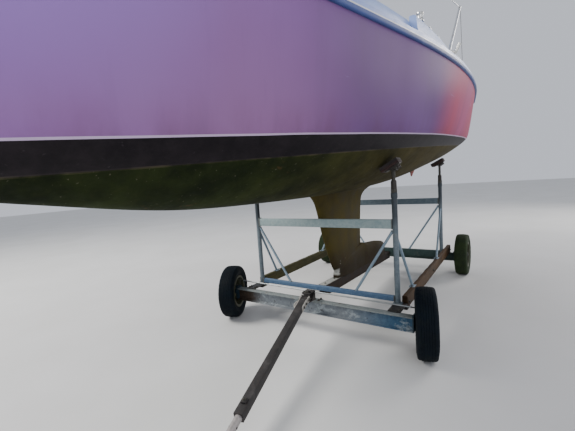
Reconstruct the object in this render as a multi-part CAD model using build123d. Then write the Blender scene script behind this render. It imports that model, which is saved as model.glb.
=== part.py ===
from build123d import *
import os
from math import sin, cos, atan2, hypot, pi as PI

# Small keeled sailing yacht, 7.2 m long, standing on a four-wheeled yard cradle.
# Millimetres. +X is the boat's port side, -Y is the bow, +Z is up, z = 0 is the
# ground under the tyres. All tables are written with y = 0 at the cradle's front
# frame; ORIGIN_SHIFT_Y then moves the whole model to the middle of its length.

# ------------------------------------------------------------ driving sizes
ORIGIN_SHIFT_Y = -124.48  # moves everything so that y = 0 is the middle of the length
TYRE_R = 290.0            # 155/80-13 road tyre
TYRE_W = 165.0
RIM_R = 168.0
REAR_TRACK_X = 1014.0     # rear port wheel centre
REAR_TRACK_S = 1145.0     # rear starboard wheel centre: the axle reaches further out there
KINGPIN_X = 1000.0        # upright pins that the front wheels steer about
KINGPIN_Y = -190.0
KINGPIN_R = 9.0
WHEEL_OFFSET = 50.0       # from kingpin to wheel centre
STEER_PORT = 14.6         # degrees, how the front wheels stand turned to port
STEER_STARBOARD = 23.1
ARM_LEN = 80.0            # steering arms, both turned by ARM_TURN
ARM_TURN = 17.0
TIE_ROD_Z = (395.0, 378.0)   # starboard end, port end
FRONT_AXLE_Y = -209.0
REAR_AXLE_Y = 2395.0
STUB_R = 20.0             # stub axle radius
HUB_BORE_R = 20.05
POST_X = 775.0
RAIL_Z = (1027.0, 1110.0)
BOOT_Z0 = 1828.0          # boot-top plane: z = BOOT_Z0 + BOOT_SLOPE * y
BOOT_SLOPE = 0.0525
DECK_T = 25.0             # deck edge thickness
GRP = 25.0                # cabin shell thickness
STRAKE_T = 22.0
STRAKE_FRACTION = 0.105   # of the upper topside panel
CABIN_AFT_Y = 580.0
MAST_Z = 3262.0
MAST_Y = (-4380.0, 4330.0)

# ------------------------------------------------------------ hull lines
# each row: y, height of keel or stem line, half-breadth at the boot-top level,
# half-breadth at sheer, height of sheer, fullness of the bottom (power of the curve)
STATIONS = [
    # y,     zk,     xw,    xs,     zs,    p
    (-3650, 2480.0,   9.0,   14.0, 2590.0, 1.10),
    (-3450, 2130.0,  34.0,   84.0, 2582.0, 1.10),
    (-3200, 1790.0,  92.0,  168.0, 2574.0, 1.15),
    (-2850, 1572.0, 172.0,  274.0, 2565.0, 1.25),
    (-2350, 1462.0, 318.0,  420.0, 2556.0, 1.45),
    (-1750, 1379.0, 498.0,  592.0, 2549.0, 1.70),
    (-1150, 1351.0, 678.0,  752.0, 2546.0, 1.90),
    ( -550, 1343.0, 826.0,  902.0, 2547.0, 2.10),
    (   50, 1345.0, 936.0, 1038.0, 2553.0, 2.30),
    (  650, 1362.0, 1008.0, 1138.0, 2566.0, 2.40),
    ( 1250, 1398.0, 1042.0, 1194.0, 2584.0, 2.40),
    ( 1850, 1449.0, 1056.0, 1211.0, 2600.0, 2.25),
    ( 2450, 1508.0, 1046.0, 1192.0, 2609.0, 2.10),
    ( 3000, 1554.0, 1018.0, 1138.0, 2615.0, 1.95),
    ( 3430, 1588.0,  984.0, 1072.0, 2620.0, 1.80),
]
BOTTOM_U = (0.30, 0.55, 0.76, 0.91)   # places of the bottom points across the half-breadth
TRANSOM_RAKE = 0.115                  # the transom leans aft by this much per unit of height


def boot_level(y, zk, zs):
    return max(BOOT_Z0 + BOOT_SLOPE * y, zk + 0.12 * (zs - zk))


def half_section(row):
    """Points (x, z) from the keel line to the sheer at one station."""
    y, zk, xw, xs, zs, p = row
    zw = boot_level(y, zk, zs)
    pts = [(0.0, zk)]
    for u in BOTTOM_U:
        pts.append((xw * u, zk + (zw - zk) * u ** p))
    pts.append((xw, zw))
    pts.append((xw + (xs - xw) * 0.58, zw + (zs - zw) * 0.5))
    pts.append((xs, zs))
    return pts


def station_y(row, z):
    """The last station is the raked transom; the others stand upright."""
    if row is STATIONS[-1]:
        return row[0] + (z - row[1]) * TRANSOM_RAKE
    return row[0]


def lerp_row(y):
    for a, b in zip(STATIONS, STATIONS[1:]):
        if a[0] <= y <= b[0]:
            t = (y - a[0]) / (b[0] - a[0])
            return tuple(p + (q - p) * t for p, q in zip(a, b))
    return STATIONS[-1]


def sheer_at(y):
    r = lerp_row(y)
    return r[3], r[4]


# ------------------------------------------------------------ helpers
def wire(pts):
    return Wire.make_polygon([Vector(*p) for p in pts], close=True)


def loft(sections):
    s = Solid.make_loft([wire(p) for p in sections], ruled=True)
    return s


def box(x0, x1, y0, y1, z0, z1):
    return Pos((x0 + x1) / 2, (y0 + y1) / 2, (z0 + z1) / 2) * Box(
        abs(x1 - x0), abs(y1 - y0), abs(z1 - z0))


def aim(p0, p1):
    a, b = Vector(*p0), Vector(*p1)
    return Plane(origin=a, z_dir=b - a), (b - a).length


def rod(p0, p1, d):
    pl, n = aim(p0, p1)
    return pl * Cylinder(d / 2, n, align=(Align.CENTER, Align.CENTER, Align.MIN))


def tube(p0, p1, d, wall):
    pl, n = aim(p0, p1)
    c = Cylinder(d / 2, n, align=(Align.CENTER, Align.CENTER, Align.MIN))
    h = Cylinder(d / 2 - wall, n, align=(Align.CENTER, Align.CENTER, Align.MIN))
    return pl * (c - h)


def bar(p0, p1, w, h, wall=0.0, up=(0, 0, 1)):
    """Rectangular bar from p0 to p1, w across and h upwards."""
    a, b = Vector(*p0), Vector(*p1)
    d = (b - a).normalized()
    x = d.cross(Vector(*up)).normalized()
    pl = Plane(origin=a, x_dir=x, z_dir=d)
    n = (b - a).length
    s = Box(w, h, n, align=(Align.CENTER, Align.CENTER, Align.MIN))
    if wall:
        s = s - Box(w - 2 * wall, h - 2 * wall, n, align=(Align.CENTER, Align.CENTER, Align.MIN))
    return pl * s


def bent(pts, d, r):
    """Round bar along straight runs joined by tangent arcs."""
    path = FilletPolyline(*[Vector(*p) for p in pts], radius=r)
    start = Plane(origin=path @ 0, z_dir=path % 0)
    return sweep(start * Circle(d / 2), path=path)


def mirror_x(s):
    return mirror(s, about=Plane.YZ)


def fuse(items):
    out = items[0]
    for i in items[1:]:
        out = out + i
    return out


NODES = {}


def add(name, *shapes):
    out = []
    for s in shapes:
        out.extend(s.solids())
    NODES[name] = out


# ------------------------------------------------------------ hull
def full_section(row, top=0.0):
    half = half_section(row)
    left = [(-x, z) for x, z in reversed(half[1:])]
    return [(x, station_y(row, z), z) for x, z in left + half]


hull_outer = loft([full_section(r) for r in STATIONS])

# deck: same sheer line below, cambered above
def deck_section(row, up=DECK_T, camber=0.055):
    y, zk, xw, xs, zs, p = row
    c = camber * xs
    yy = station_y(row, zs)
    pts = [(-xs, zs), (-xs, zs + up), (-xs * 0.55, zs + up + c * 0.72), (0, zs + up + c),
           (xs * 0.55, zs + up + c * 0.72), (xs, zs + up), (xs, zs)]
    return [(x, yy, z) for x, z in pts]


deck_solid = loft([deck_section(r) for r in STATIONS])

# cabin hollow and cockpit well
CABIN = dict(y0=-1900.0, y1=540.0, sole=1640.0, berth=2010.0)
COCKPIT = dict(y0=640.0, y1=2950.0, seat=2350.0, floor=2010.0, well=310.0, side=800.0)
# columns: y, half width at the deck, half width at the top edge, height of top edge, crown height
ROOF = [
    (-2150.0, 250.0, 235.0, 2640.0, 2655.0),
    (-1850.0, 345.0, 300.0, 2800.0, 2840.0),
    (-1000.0, 560.0, 505.0, 2915.0, 2980.0),
    ( -200.0, 730.0, 665.0, 2972.0, 3048.0),
    (  580.0, 862.0, 800.0, 2995.0, 3075.0),
]


def roof_section(r, inset, dy=0.0, low=2520.0):
    y, xb, xt, zt, zc = r
    i = inset
    sl = (xb - xt) / (zt - 2600.0) if zt > 2650 else 0.3
    x_low = xb + sl * (2600.0 - low)
    # lower, side top, shoulder, crown: a seven-sided section
    pts = [(x_low - i, low), (xt - i, zt - i * 0.9), (xt * 0.62 - i * 0.3, zt + (zc - zt) * 0.78 - i), (0, zc - i)]
    pts = [(-x, z) for x, z in reversed(pts[:-1])][::-1] + [(0, zc - i)] + [(x, z) for x, z in reversed(pts[:-1])]
    return [(x, y + dy, z) for x, z in pts]


def roof_solid(inset, dy0, dy1):
    secs = []
    for k, r in enumerate(ROOF):
        dy = dy0 if k == 0 else (dy1 if k == len(ROOF) - 1 else 0.0)
        secs.append(roof_section(r, inset, dy))
    return loft(secs)


roof_outer = roof_solid(0.0, 0.0, 0.0)
roof_inner = roof_solid(GRP, 120.0, -GRP)

cabin_hollow = box(-250, 250, CABIN["y0"] + 500, CABIN["y1"], CABIN["sole"], CABIN["berth"] + 5)
cabin_berths = loft([
    [(x, y, z) for x, z in ((-w, CABIN["berth"]), (-w2, 2700), (w2, 2700), (w, CABIN["berth"]))]
    for y, w, w2 in ((CABIN["y0"], 300, 290), (-1000, 520, 500), (-200, 690, 660), (CABIN["y1"], 790, 770))])
cockpit_seats = box(-COCKPIT["side"], COCKPIT["side"], COCKPIT["y0"], COCKPIT["y1"], COCKPIT["seat"], 2800)
cockpit_well = box(-COCKPIT["well"], COCKPIT["well"], COCKPIT["y0"] + 110, COCKPIT["y1"] - 250,
                   COCKPIT["floor"], COCKPIT["seat"] + 5)
companion = box(-270, 270, CABIN["y1"] - 5, COCKPIT["y0"] + 5, 2440, 2800)
# columns: side, y0, y1
LOCKERS = [(1, 1250.0, 1950.0), (-1, 1250.0, 1950.0)]
LOCKER_X = (400.0, 740.0)
LID_T = 22.0
locker_cuts = []
for side, ya, yb in LOCKERS:
    xa, xb = sorted((side * LOCKER_X[0], side * LOCKER_X[1]))
    locker_cuts.append(box(xa, xb, ya, yb, COCKPIT["seat"] - 280, COCKPIT["seat"] + 5))
foredeck_hatch_cut = box(-215, 215, -2730, -2330, 2280, 2700)

# the hull and the deck are drawn as blocks that meet along the planes of their hollows
FAR = 4000.0
LK0, LK1 = LOCKERS[0][1], LOCKERS[0][2]
WELL = COCKPIT["well"]
WELL_Y = (COCKPIT["y0"] + 110, COCKPIT["y1"] - 250)
SOLE, BERTH, SEAT, FLOOR = CABIN["sole"], CABIN["berth"], COCKPIT["seat"], COCKPIT["floor"]
# columns: x0, x1 (a block off the centreline comes on both sides), y0, y1, z0, z1
HULL_BLOCKS = [
    (-FAR, FAR, -FAR, -2730, 0, FAR),
    (-FAR, FAR, -2730, -2330, 0, 2280), (215, FAR, -2730, -2330, 2280, FAR),
    (-FAR, FAR, -2330, -1900, 0, FAR),
    (-FAR, FAR, -1900, -1400, 0, BERTH),
    (-FAR, FAR, -1400, 540, 0, SOLE), (250, FAR, -1400, 540, SOLE, BERTH),
    (200, FAR, -1900, -1000, BERTH, FAR), (200, FAR, -1000, -200, BERTH, FAR), (200, FAR, -200, 540, BERTH, FAR),
    (-FAR, FAR, 540, 750, 0, SEAT), (-270, 270, 540, 640, SEAT, 2440), (270, FAR, 540, 640, SEAT, FAR),
    (-FAR, FAR, WELL_Y[0], WELL_Y[1], 0, FLOOR),
    (WELL, FAR, WELL_Y[0], LK0, FLOOR, SEAT), (WELL, FAR, LK1, WELL_Y[1], FLOOR, SEAT),
    (WELL, LOCKER_X[0], LK0, LK1, FLOOR, SEAT), (LOCKER_X[0], LOCKER_X[1], LK0, LK1, FLOOR, SEAT - 280),
    (LOCKER_X[1], FAR, LK0, LK1, FLOOR, SEAT),
    (-FAR, FAR, WELL_Y[1], 2950, 0, SEAT), (COCKPIT["side"], FAR, 640, 2950, SEAT, FAR),
    (-FAR, FAR, 2950, FAR, 0, FAR),
]
DECK_BLOCKS = [
    (-FAR, FAR, -FAR, -2730, 0, FAR), (215, FAR, -2730, -2330, 0, FAR), (-FAR, FAR, -2330, -1900, 0, FAR),
    (200, FAR, -1900, -1000, 0, FAR), (200, FAR, -1000, -200, 0, FAR), (200, FAR, -200, 540, 0, FAR),
    (270, FAR, 540, 640, 0, FAR), (COCKPIT["side"], FAR, 640, 2950, 0, FAR), (-FAR, FAR, 2950, FAR, 0, FAR),
]


def blocks(whole, table, hollow):
    out = []
    for x0, x1, y0, y1, z0, z1 in table:
        b = whole & box(x0, x1, y0, y1, z0, z1)
        if x0 == 200:
            b = b - hollow
        big = [q for q in b.solids() if q.volume > 1000]
        out += big
        if x0 > 0:
            out += [mirror_x(q) for q in big]
    return out


hull_parts = blocks(hull_outer, HULL_BLOCKS, cabin_berths)
add("hull", *hull_parts)
add("deck", *blocks(deck_solid, DECK_BLOCKS, cabin_berths))

# ------------------------------------------------------------ coachroof
# columns: y0, y1, z0, z1 of the side windows
WINDOWS = [(-1640.0, -1300.0, 2708.0, 2782.0), (-1200.0, -780.0, 2716.0, 2824.0)]
HATCH_X = 300.0
HATCH_Y = (60.0, 640.0)
roof = roof_outer - roof_inner
roof = roof - deck_solid - hull_outer
roof = roof - box(-270, 270, 100, CABIN_AFT_Y + 50, 2440, 3200)
# guides for the washboards, one each side of the companionway
for s in (-1, 1):
    guide = box(s * 270, s * 292, CABIN_AFT_Y - 4, 616, 2600, 3056) + box(s * 248, s * 292, 604.5, 616, 2600, 3056)
    roof = roof + (guide - deck_solid - hull_outer)
window_cuts = [box(-1100, 1100, a, b, c, d) for a, b, c, d in WINDOWS]
for w in window_cuts:
    roof = roof - w
# columns: y0, y1, x0, x1, side walls (z up to the edge) or top panel
roof_parts = []
for (ya, _, xa, za, _), (yb, _, xb, zb, _) in zip(ROOF, ROOF[1:]):
    nose, aft = ya == ROOF[0][0], yb == ROOF[-1][0]
    y1 = yb - GRP - 0.5 if aft else yb
    # the upright line between side wall and top panel runs just inside the upper edge
    lane = loft([[(-x + 30, y, 2400), (x - 30, y, 2400), (x - 30, y, 3400), (-x + 30, y, 3400)] for y, x in ((ya, xa), (yb, xb))])
    span = roof & box(-2000, 2000, ya - 1 if nose else ya, y1, 2400, 3400)
    if nose:
        roof_parts += span.solids()
        continue
    roof_parts += (span - lane).solids()
    top = span & lane
    if aft:
        roof_parts += (top & box(-2000, 2000, ya, 100, 2400, 3400)).solids()
        roof_parts += (top & box(-2000, 2000, 100, y1, 2400, 3400)).solids()
        roof_parts += (roof & box(-2000, 2000, y1, 700, 2400, 3400)).solids()
    else:
        roof_parts += top.solids()
roof_parts = [q for q in roof_parts if q.volume > 2000]
add("coachroof", *roof_parts)

pane_shell = roof_solid(7.0, 20.0, -7.0) - roof_solid(13.0, 40.0, -13.0)
panes = []
for w in window_cuts:
    panes += (pane_shell & w).solids()
panes = [p for p in panes if p.volume > 1000]
NODES["cabin_windows"] = panes

# sliding hatch, its runners and the washboards
hatch_top = 3125.0
hatch = box(-HATCH_X, HATCH_X, 70, 642, hatch_top - 18, hatch_top) \
    + box(-HATCH_X, HATCH_X, 624, 642, hatch_top - 60, hatch_top) \
    + box(-HATCH_X, -HATCH_X + 14, 70, 642, hatch_top - 40, hatch_top) \
    + box(HATCH_X - 14, HATCH_X, 70, 642, hatch_top - 40, hatch_top)
add("companionway_hatch", hatch)
runners = []
for s in (-1, 1):
    runners.append(box(s * 306, s * 334, -560, 590, 3020, 3100) - roof_outer)
add("hatch_runners", *runners)
boards = [box(-269.5, 269.5, 586, 604, z, z + 208) for z in (2440.5, 2649, 2857.5)]
add("washboards", *boards)

# fore hatch: a coaming round the opening, and the lid on top of it
FH_Y = (-2750.0, -2310.0)
fh_z = 2680.0
fore_coaming = box(-245, 245, FH_Y[0] - 20, FH_Y[1] + 20, 2560, fh_z) - box(-215, 215, FH_Y[0] + 20, FH_Y[1] - 20, 2500, 2800)
fore_coaming = fore_coaming - deck_solid - hull_outer
HINGE_R, HINGE_PIN_R = 7.5, 3.5
FH_AXIS = (FH_Y[0] - 33.0, fh_z + 10.0)      # y, z of the fore hatch's hinge line
FH_HINGE_X = 150.0
for s in (-1, 1):
    for a, b in ((110, 129), (171, 190)):
        ear = Pos(s * (a + b) / 2, *FH_AXIS) * Rot(0, 90, 0) * Cylinder(HINGE_R, b - a)
        ear = ear + box(s * a, s * b, FH_AXIS[0] - 7, FH_AXIS[0] + 7, FH_AXIS[1] - 35, FH_AXIS[1]) \
            + box(s * a, s * b, FH_AXIS[0] - 7, FH_Y[0] - 19, FH_AXIS[1] - 35, FH_AXIS[1] - 12)
        fore_coaming = fore_coaming + ear
    fore_coaming = fore_coaming + Pos(s * FH_HINGE_X, *FH_AXIS) * Rot(0, 90, 0) * Cylinder(HINGE_PIN_R, 80)
add("fore_hatch_coaming", fore_coaming)


def hinge_leaf(x, length):
    """Barrel round a hinge pin along X."""
    return Pos(x, 0, 0) * Rot(0, 90, 0) * (Cylinder(HINGE_R, length) - Cylinder(HINGE_PIN_R + 0.05, length + 2))


fore_lid = box(-250, 250, FH_Y[0] - 25, FH_Y[1] + 25, fh_z + 6, fh_z + 28) + box(-190, 190, FH_Y[0] + 40, FH_Y[1] - 40, fh_z + 20, fh_z + 38)
for s in (-1, 1):
    leaf = Pos(0, *FH_AXIS) * hinge_leaf(s * FH_HINGE_X, 40)
    fore_lid = fore_lid + leaf + (box(s * 130, s * 170, FH_AXIS[0], FH_Y[0] + 10, fh_z + 8, fh_z + 17) - Pos(0, *FH_AXIS) * Rot(0, 90, 0) * Cylinder(HINGE_R - 1, 500))
add("fore_hatch", fore_lid)

# ------------------------------------------------------------ cockpit
# columns: y, outer x, top z
COAMING = [(600.0, 872.0, 2996.0), (1250.0, 945.0, 2990.0), (1850.0, 985.0, 2975.0),
           (2450.0, 975.0, 2955.0), (3060.0, 905.0, 2930.0)]
coam = loft([[(802, y, 2540), (x + 42, y, 2540), (x, y, z - 14), (x - 14, y, z), (815, y, z), (802, y, z - 12)]
             for y, x, z in COAMING]) - deck_solid - hull_outer - roof_outer
add("coamings", coam, mirror_x(coam))
LID_AXIS = (LOCKER_X[1] + 34.0, SEAT + 14.0)   # x, z of the lids' hinge lines
lid_hinges = []
for side, ya, yb in LOCKERS:
    xa, xb = sorted((side * (LOCKER_X[0] - 25), side * (LOCKER_X[1] + 25)))
    nm = "locker_lid_port" if side > 0 else "locker_lid_starboard"
    lid = box(xa, xb, ya - 25, yb + 25, SEAT + 5.5, SEAT + 5.5 + LID_T)
    for yh in (ya + 120, yb - 120):
        at = Pos(side * LID_AXIS[0], yh, LID_AXIS[1])
        barrel = at * Rot(90, 0, 0) * (Cylinder(7, 50) - Cylinder(HINGE_PIN_R + 0.05, 52))
        lug = box(side * (LOCKER_X[1] + 20), side * LID_AXIS[0], yh - 25, yh + 25, LID_AXIS[1] - 4, LID_AXIS[1] + 4) - at * Rot(90, 0, 0) * Cylinder(6, 60)
        lid = lid + barrel + lug
        ears = at * Rot(90, 0, 0) * Cylinder(HINGE_PIN_R, 86)
        for a in (-34.5, 34.5):
            ears = ears + Pos(side * LID_AXIS[0], yh + a, LID_AXIS[1]) * Rot(90, 0, 0) * Cylinder(7, 17)
            ears = ears + box(side * (LID_AXIS[0] - 6), side * (LID_AXIS[0] + 14), yh + a - 8.5, yh + a + 8.5, SEAT + 0.4, LID_AXIS[1] - 2)
        lid_hinges.append(ears)
    add(nm, lid)
add("locker_hinges", *lid_hinges)

# ------------------------------------------------------------ strakes, rails
# the strakes and toe rails come in lengths between these stations
LENGTHS = ((1, 4), (4, 7), (7, 10), (10, 14))


def side_band(zf0, zf1, t, gap=0.3, rows=None):
    """A band on the hull side between two fractions of the upper topside panel."""
    secs = []
    for r in (rows or STATIONS[1:]):
        half = half_section(r)
        (xm, zm), (xs, zs) = half[-2], half[-1]
        a = (xs + (xm - xs) * zf0, zs + (zm - zs) * zf0)
        b = (xs + (xm - xs) * zf1, zs + (zm - zs) * zf1)
        g = gap
        pts = [(a[0] + g, a[1]), (a[0] + g + t, a[1] - 4), (b[0] + g + t, b[1] + 4), (b[0] + g, b[1])]
        secs.append([(x, station_y(r, z), z) for x, z in pts])
    return loft(secs)


strake = side_band(0.0, STRAKE_FRACTION, STRAKE_T)
strake_lengths = [side_band(0.0, STRAKE_FRACTION, STRAKE_T, rows=STATIONS[a:b + 1]) for a, b in LENGTHS]
add("rubbing_strakes", *strake_lengths, *[mirror_x(q) for q in strake_lengths])

toe_secs = []
for r in STATIONS[1:]:
    xs, zs = r[3], r[4]
    yy = station_y(r, zs)
    toe_secs.append([(xs - 24, yy, zs + DECK_T + 1.7), (xs - 1, yy, zs + DECK_T + 0.3),
                     (xs - 3, yy, zs + DECK_T + 30), (xs - 18, yy, zs + DECK_T + 30)])
toe = loft(toe_secs) - deck_solid
toe_lengths = [loft(toe_secs[a - 1:b]) - deck_solid for a, b in LENGTHS]
add("toe_rails", *toe_lengths, *[mirror_x(q) for q in toe_lengths])

# ------------------------------------------------------------ keel
# columns: z, leading edge y, trailing edge y, half thickness
KEEL_FIN = [(360.0, 410.0, 1120.0, 52.0), (412.0, 374.0, 1110.0, 55.0), (532.0, 277.0, 1080.0, 56.0),
            (710.0, 180.0, 1069.0, 58.0), (888.0, 100.0, 1085.0, 62.0), (1120.0, 24.0, 1120.0, 68.0),
            (1257.0, -30.0, 1165.0, 76.0), (1330.0, -95.0, 1300.0, 92.0), (1400.0, -230.0, 1640.0, 120.0),
            (1470.0, -420.0, 1900.0, 150.0)]


def lens(y0, y1, t, z):
    n = [(0.0, 0.10), (0.06, 0.62), (0.28, 1.0), (0.62, 0.86), (1.0, 0.10)]
    right = [(t * f, y0 + (y1 - y0) * u, z) for u, f in n]
    left = [(-x, y, z) for x, y, z in reversed(right)]
    return right + left


fin = loft([lens(a, b, t, z) for z, a, b, t in KEEL_FIN])
foot_outline = [(400, 340), (1962, 340), (1968, 400), (1960, 470), (1900, 525), (1620, 590), (1330, 622),
                (1190, 640), (1100, 700), (500, 700), (330, 480)]
# columns: y, half width of the foot
FOOT = [(330.0, 30.0), (450.0, 52.0), (800.0, 60.0), (1400.0, 66.0), (1800.0, 52.0), (1968.0, 14.0)]
foot = loft([[(-t, y, 335), (t, y, 335), (t, y, 705), (-t, y, 705)] for y, t in FOOT])
profile = Plane.YZ * make_face(Polyline(*[(a, b) for a, b in foot_outline], close=True))
foot = foot & extrude(profile, 200, both=True)
beam_top = loft([[(-300, y, 100), (300, y, 100), (300, y, 420 - 0.0408 * y), (-300, y, 420 - 0.0408 * y)]
                 for y in (-400, 2600)])
keel = (fin + foot) - hull_outer - beam_top
add("keel", keel)

# ------------------------------------------------------------ cradle
BEAM_X = (-53.0, 47.0)


def ibeam(x0, x1, yc, z0, z1, w, tf=9.0, tw=7.0):
    return box(x0, x1, yc - w / 2, yc + w / 2, z0, z0 + tf) + box(x0, x1, yc - w / 2, yc + w / 2, z1 - tf, z1) \
        + box(x0, x1, yc - tw / 2, yc + tw / 2, z0 + tf, z1 - tf)


REAR_AX_HALF = 906.0
REAR_AX_STAR = REAR_AX_HALF + REAR_TRACK_S - REAR_TRACK_X
FRONT_AX_HALF = 968.0
FRONT_AXLE_Z = (213.0, 340.0)
REAR_AXLE_Z = (190.0, 300.0)
LUG_R = 25.0
rear_axle = ibeam(-REAR_AX_STAR, REAR_AX_HALF, REAR_AXLE_Y, *REAR_AXLE_Z, 74.0)
for s, half, track in ((-1, REAR_AX_STAR, REAR_TRACK_S), (1, REAR_AX_HALF, REAR_TRACK_X)):
    rear_axle = rear_axle + box(s * (half - 12), s * half, REAR_AXLE_Y - 37, REAR_AXLE_Y + 37, REAR_AXLE_Z[0], TYRE_R + 34)
    rear_axle = rear_axle + rod((s * (half - 6), REAR_AXLE_Y, TYRE_R), (s * (track + 60), REAR_AXLE_Y, TYRE_R), 2 * STUB_R)
    rear_axle = rear_axle + rod((s * half, REAR_AXLE_Y, TYRE_R), (s * (half + 14), REAR_AXLE_Y, TYRE_R), 64)
add("rear_axle", rear_axle)

# front axle beam with a yoke and kingpin at each end
front_axle = ibeam(-FRONT_AX_HALF, FRONT_AX_HALF, FRONT_AXLE_Y, *FRONT_AXLE_Z, 74.0)
for s in (-1, 1):
    front_axle = front_axle + box(s * (FRONT_AX_HALF - 12), s * FRONT_AX_HALF, FRONT_AXLE_Y - 37, KINGPIN_Y + 25, FRONT_AXLE_Z[0], 356)
    for z0, z1 in ((222, 236), (344, 356)):
        front_axle = front_axle + box(s * (FRONT_AX_HALF - 6), s * KINGPIN_X, KINGPIN_Y - LUG_R, KINGPIN_Y + LUG_R, z0, z1) \
            + Pos(s * KINGPIN_X, KINGPIN_Y, (z0 + z1) / 2) * Cylinder(LUG_R, z1 - z0)
    front_axle = front_axle + rod((s * KINGPIN_X, KINGPIN_Y, 218), (s * KINGPIN_X, KINGPIN_Y, 361), 2 * KINGPIN_R)
add("front_axle", front_axle)

# steering knuckles: barrel on the kingpin, stub axle, and an arm aft with the tie rod's stud
FRONT_CENTRES = {}
ARM_PINS = {}
for nm, s, steer, zt in (("port", 1, STEER_PORT, TIE_ROD_Z[1]), ("starboard", -1, STEER_STARBOARD, TIE_ROD_Z[0])):
    a = steer * PI / 180
    arm_a = ARM_TURN * PI / 180
    ux, uy = s * cos(a), s * sin(a)
    k = Vector(s * KINGPIN_X, KINGPIN_Y, 0)
    knuckle = Pos(k.X, k.Y, 290) * Cylinder(22, 106)
    knuckle = knuckle + rod((k.X + ux * 10, k.Y + uy * 10, TYRE_R), (k.X + ux * (WHEEL_OFFSET + 60), k.Y + uy * (WHEEL_OFFSET + 60), TYRE_R), 2 * STUB_R)
    pin = Vector(k.X - ARM_LEN * sin(arm_a), k.Y + ARM_LEN * cos(arm_a), 0)
    arm = Plane(origin=(k.X, k.Y, 328), x_dir=(cos(arm_a), sin(arm_a), 0), z_dir=(0, 0, 1)) * Pos(0, ARM_LEN / 2, 0) * Box(26, ARM_LEN, 12)
    knuckle = knuckle + arm + Pos(pin.X, pin.Y, 328) * Cylinder(13, 12)
    knuckle = knuckle - Pos(k.X, k.Y, 290) * Cylinder(KINGPIN_R + 0.05, 140)
    knuckle = knuckle + rod((pin.X, pin.Y, 330), (pin.X, pin.Y, zt + 14), 10)
    add("knuckle_front_" + nm, knuckle)
    FRONT_CENTRES[nm] = (k.X + ux * WHEEL_OFFSET, k.Y + uy * WHEEL_OFFSET)
    ARM_PINS[nm] = (pin.X, pin.Y, zt)
ps, pp = Vector(*ARM_PINS["starboard"]), Vector(*ARM_PINS["port"])
along = (pp - ps).normalized()
tie_rod = rod(tuple(ps + along * 10), tuple(pp - along * 10), 14)
for q in (ps, pp):
    tie_rod = tie_rod + Pos(q) * Cylinder(13, 16)
for q in (ps, pp):
    tie_rod = tie_rod - Pos(q) * Cylinder(5.05, 60)
add("tie_rod", tie_rod)

# plates that carry the front posts on the axle, stepped down under the side planks
plates = []
for s in (-1, 1):
    b = box(s * 740, s * 850, FRONT_AXLE_Y + 18, 27, 341, 350) + box(s * 800, s * 850, 19, 27, 291, 350) + box(s * 800, s * 850, 19, 120, 291, 300)
    plates.append(b)
add("front_base_plates", *plates)

REAR_RAIL_Z = (288.0, 383.0)
rail_x = POST_X - 25
lower_f = box(-rail_x, rail_x, -22.5, 22.5, 370, 415) - box(-rail_x, rail_x, -19, 19, 373.5, 411.5)
upper_f = box(-rail_x, rail_x, -16, 16, *RAIL_Z)
upper_r = box(-rail_x, rail_x, 2136 - 16, 2136 + 16, 1052, 1134)
lower_r = box(-rail_x, rail_x, 2136 - 30, 2136 + 30, *REAR_RAIL_Z) - box(-rail_x, rail_x, 2136 - 25, 2136 + 25, REAR_RAIL_Z[0] + 5, REAR_RAIL_Z[1] - 5)
add("upper_rails", upper_f, upper_r)
add("lower_rails", lower_f, lower_r)

COLLAR_Z = 1345.0
POST_D = 49.0
SCREW_D = 34.0
posts = []
jacks = []
# columns: frame y, post foot z, screw top z
FRAMES = ((0.0, 350.2, 1546.0), (2136.0, 300.0, 1590.0))
for yf, zb, zt in FRAMES:
    for s in (-1, 1):
        x = s * POST_X
        posts.append(tube((x, yf, zb), (x, yf, COLLAR_Z), POST_D, 3.5))
        j = rod((x, yf, COLLAR_Z - 180), (x, yf, zt), SCREW_D) + rod((x, yf, COLLAR_Z + 0.2), (x, yf, COLLAR_Z + 30), 60.0)
        j = j + rod((x, yf, COLLAR_Z + 20), (x, yf, COLLAR_Z + 110), 50.0)
        j = j + box(x - 34, x + 34, yf - 30, yf + 30, zt - 8, zt)
        jacks.append(j)
add("posts", *posts)

BR = 26.0
post_guard = fuse([rod((s * POST_X, yf, 200), (s * POST_X, yf, 1600), POST_D + 0.4) for yf, _, _ in FRAMES for s in (-1, 1)])
rail_guard = box(-rail_x, rail_x, -22.7, 22.7, 300, 415.2) + box(-rail_x, rail_x, 2136 - 30.2, 2136 + 30.2, 200, REAR_RAIL_Z[1] + 0.2) \
    + box(-rail_x, rail_x, -16.2, 16.2, RAIL_Z[0] - 0.2, 1200) + box(-rail_x, rail_x, 2136 - 16.2, 2136 + 16.2, 1052 - 0.2, 1300)
braces = []
for yf, z1, z0, xi in ((0.0, 1010.0, 410.0, 375.0), (2136.0, 1030.0, 378.0, 330.0)):
    for s in (-1, 1):
        b = rod((s * 756, yf, z1 + 5), (s * xi, yf, z0), BR)
        braces.append((b - post_guard - rail_guard).solids().sort_by(SortBy.VOLUME)[-1])
PLANK_TOP = 412.0
planks = []
long_braces = []
for s in (-1, 1):
    xa, xb = sorted((s * (POST_X + 25.2), s * (POST_X + 75.2)))
    planks.append(box(xa, xb, 40.5, 2440, 300.3, PLANK_TOP))
    xf = s * (POST_X + 44)
    for p0, p1 in (((s * POST_X, 0, 985), (xf, 345, PLANK_TOP - 6)), ((s * POST_X, 2136, 1005), (xf, 1530, PLANK_TOP - 6))):
        b = rod(p0, p1, BR) - post_guard - box(-2000, 2000, 0, 2500, 0, PLANK_TOP + 0.2)
        long_braces.append(b.solids().sort_by(SortBy.VOLUME)[-1])
add("side_planks", *planks)
add("braces", *braces, *long_braces)


def beam_z(y):
    return 420 - 0.0408 * y


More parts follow.
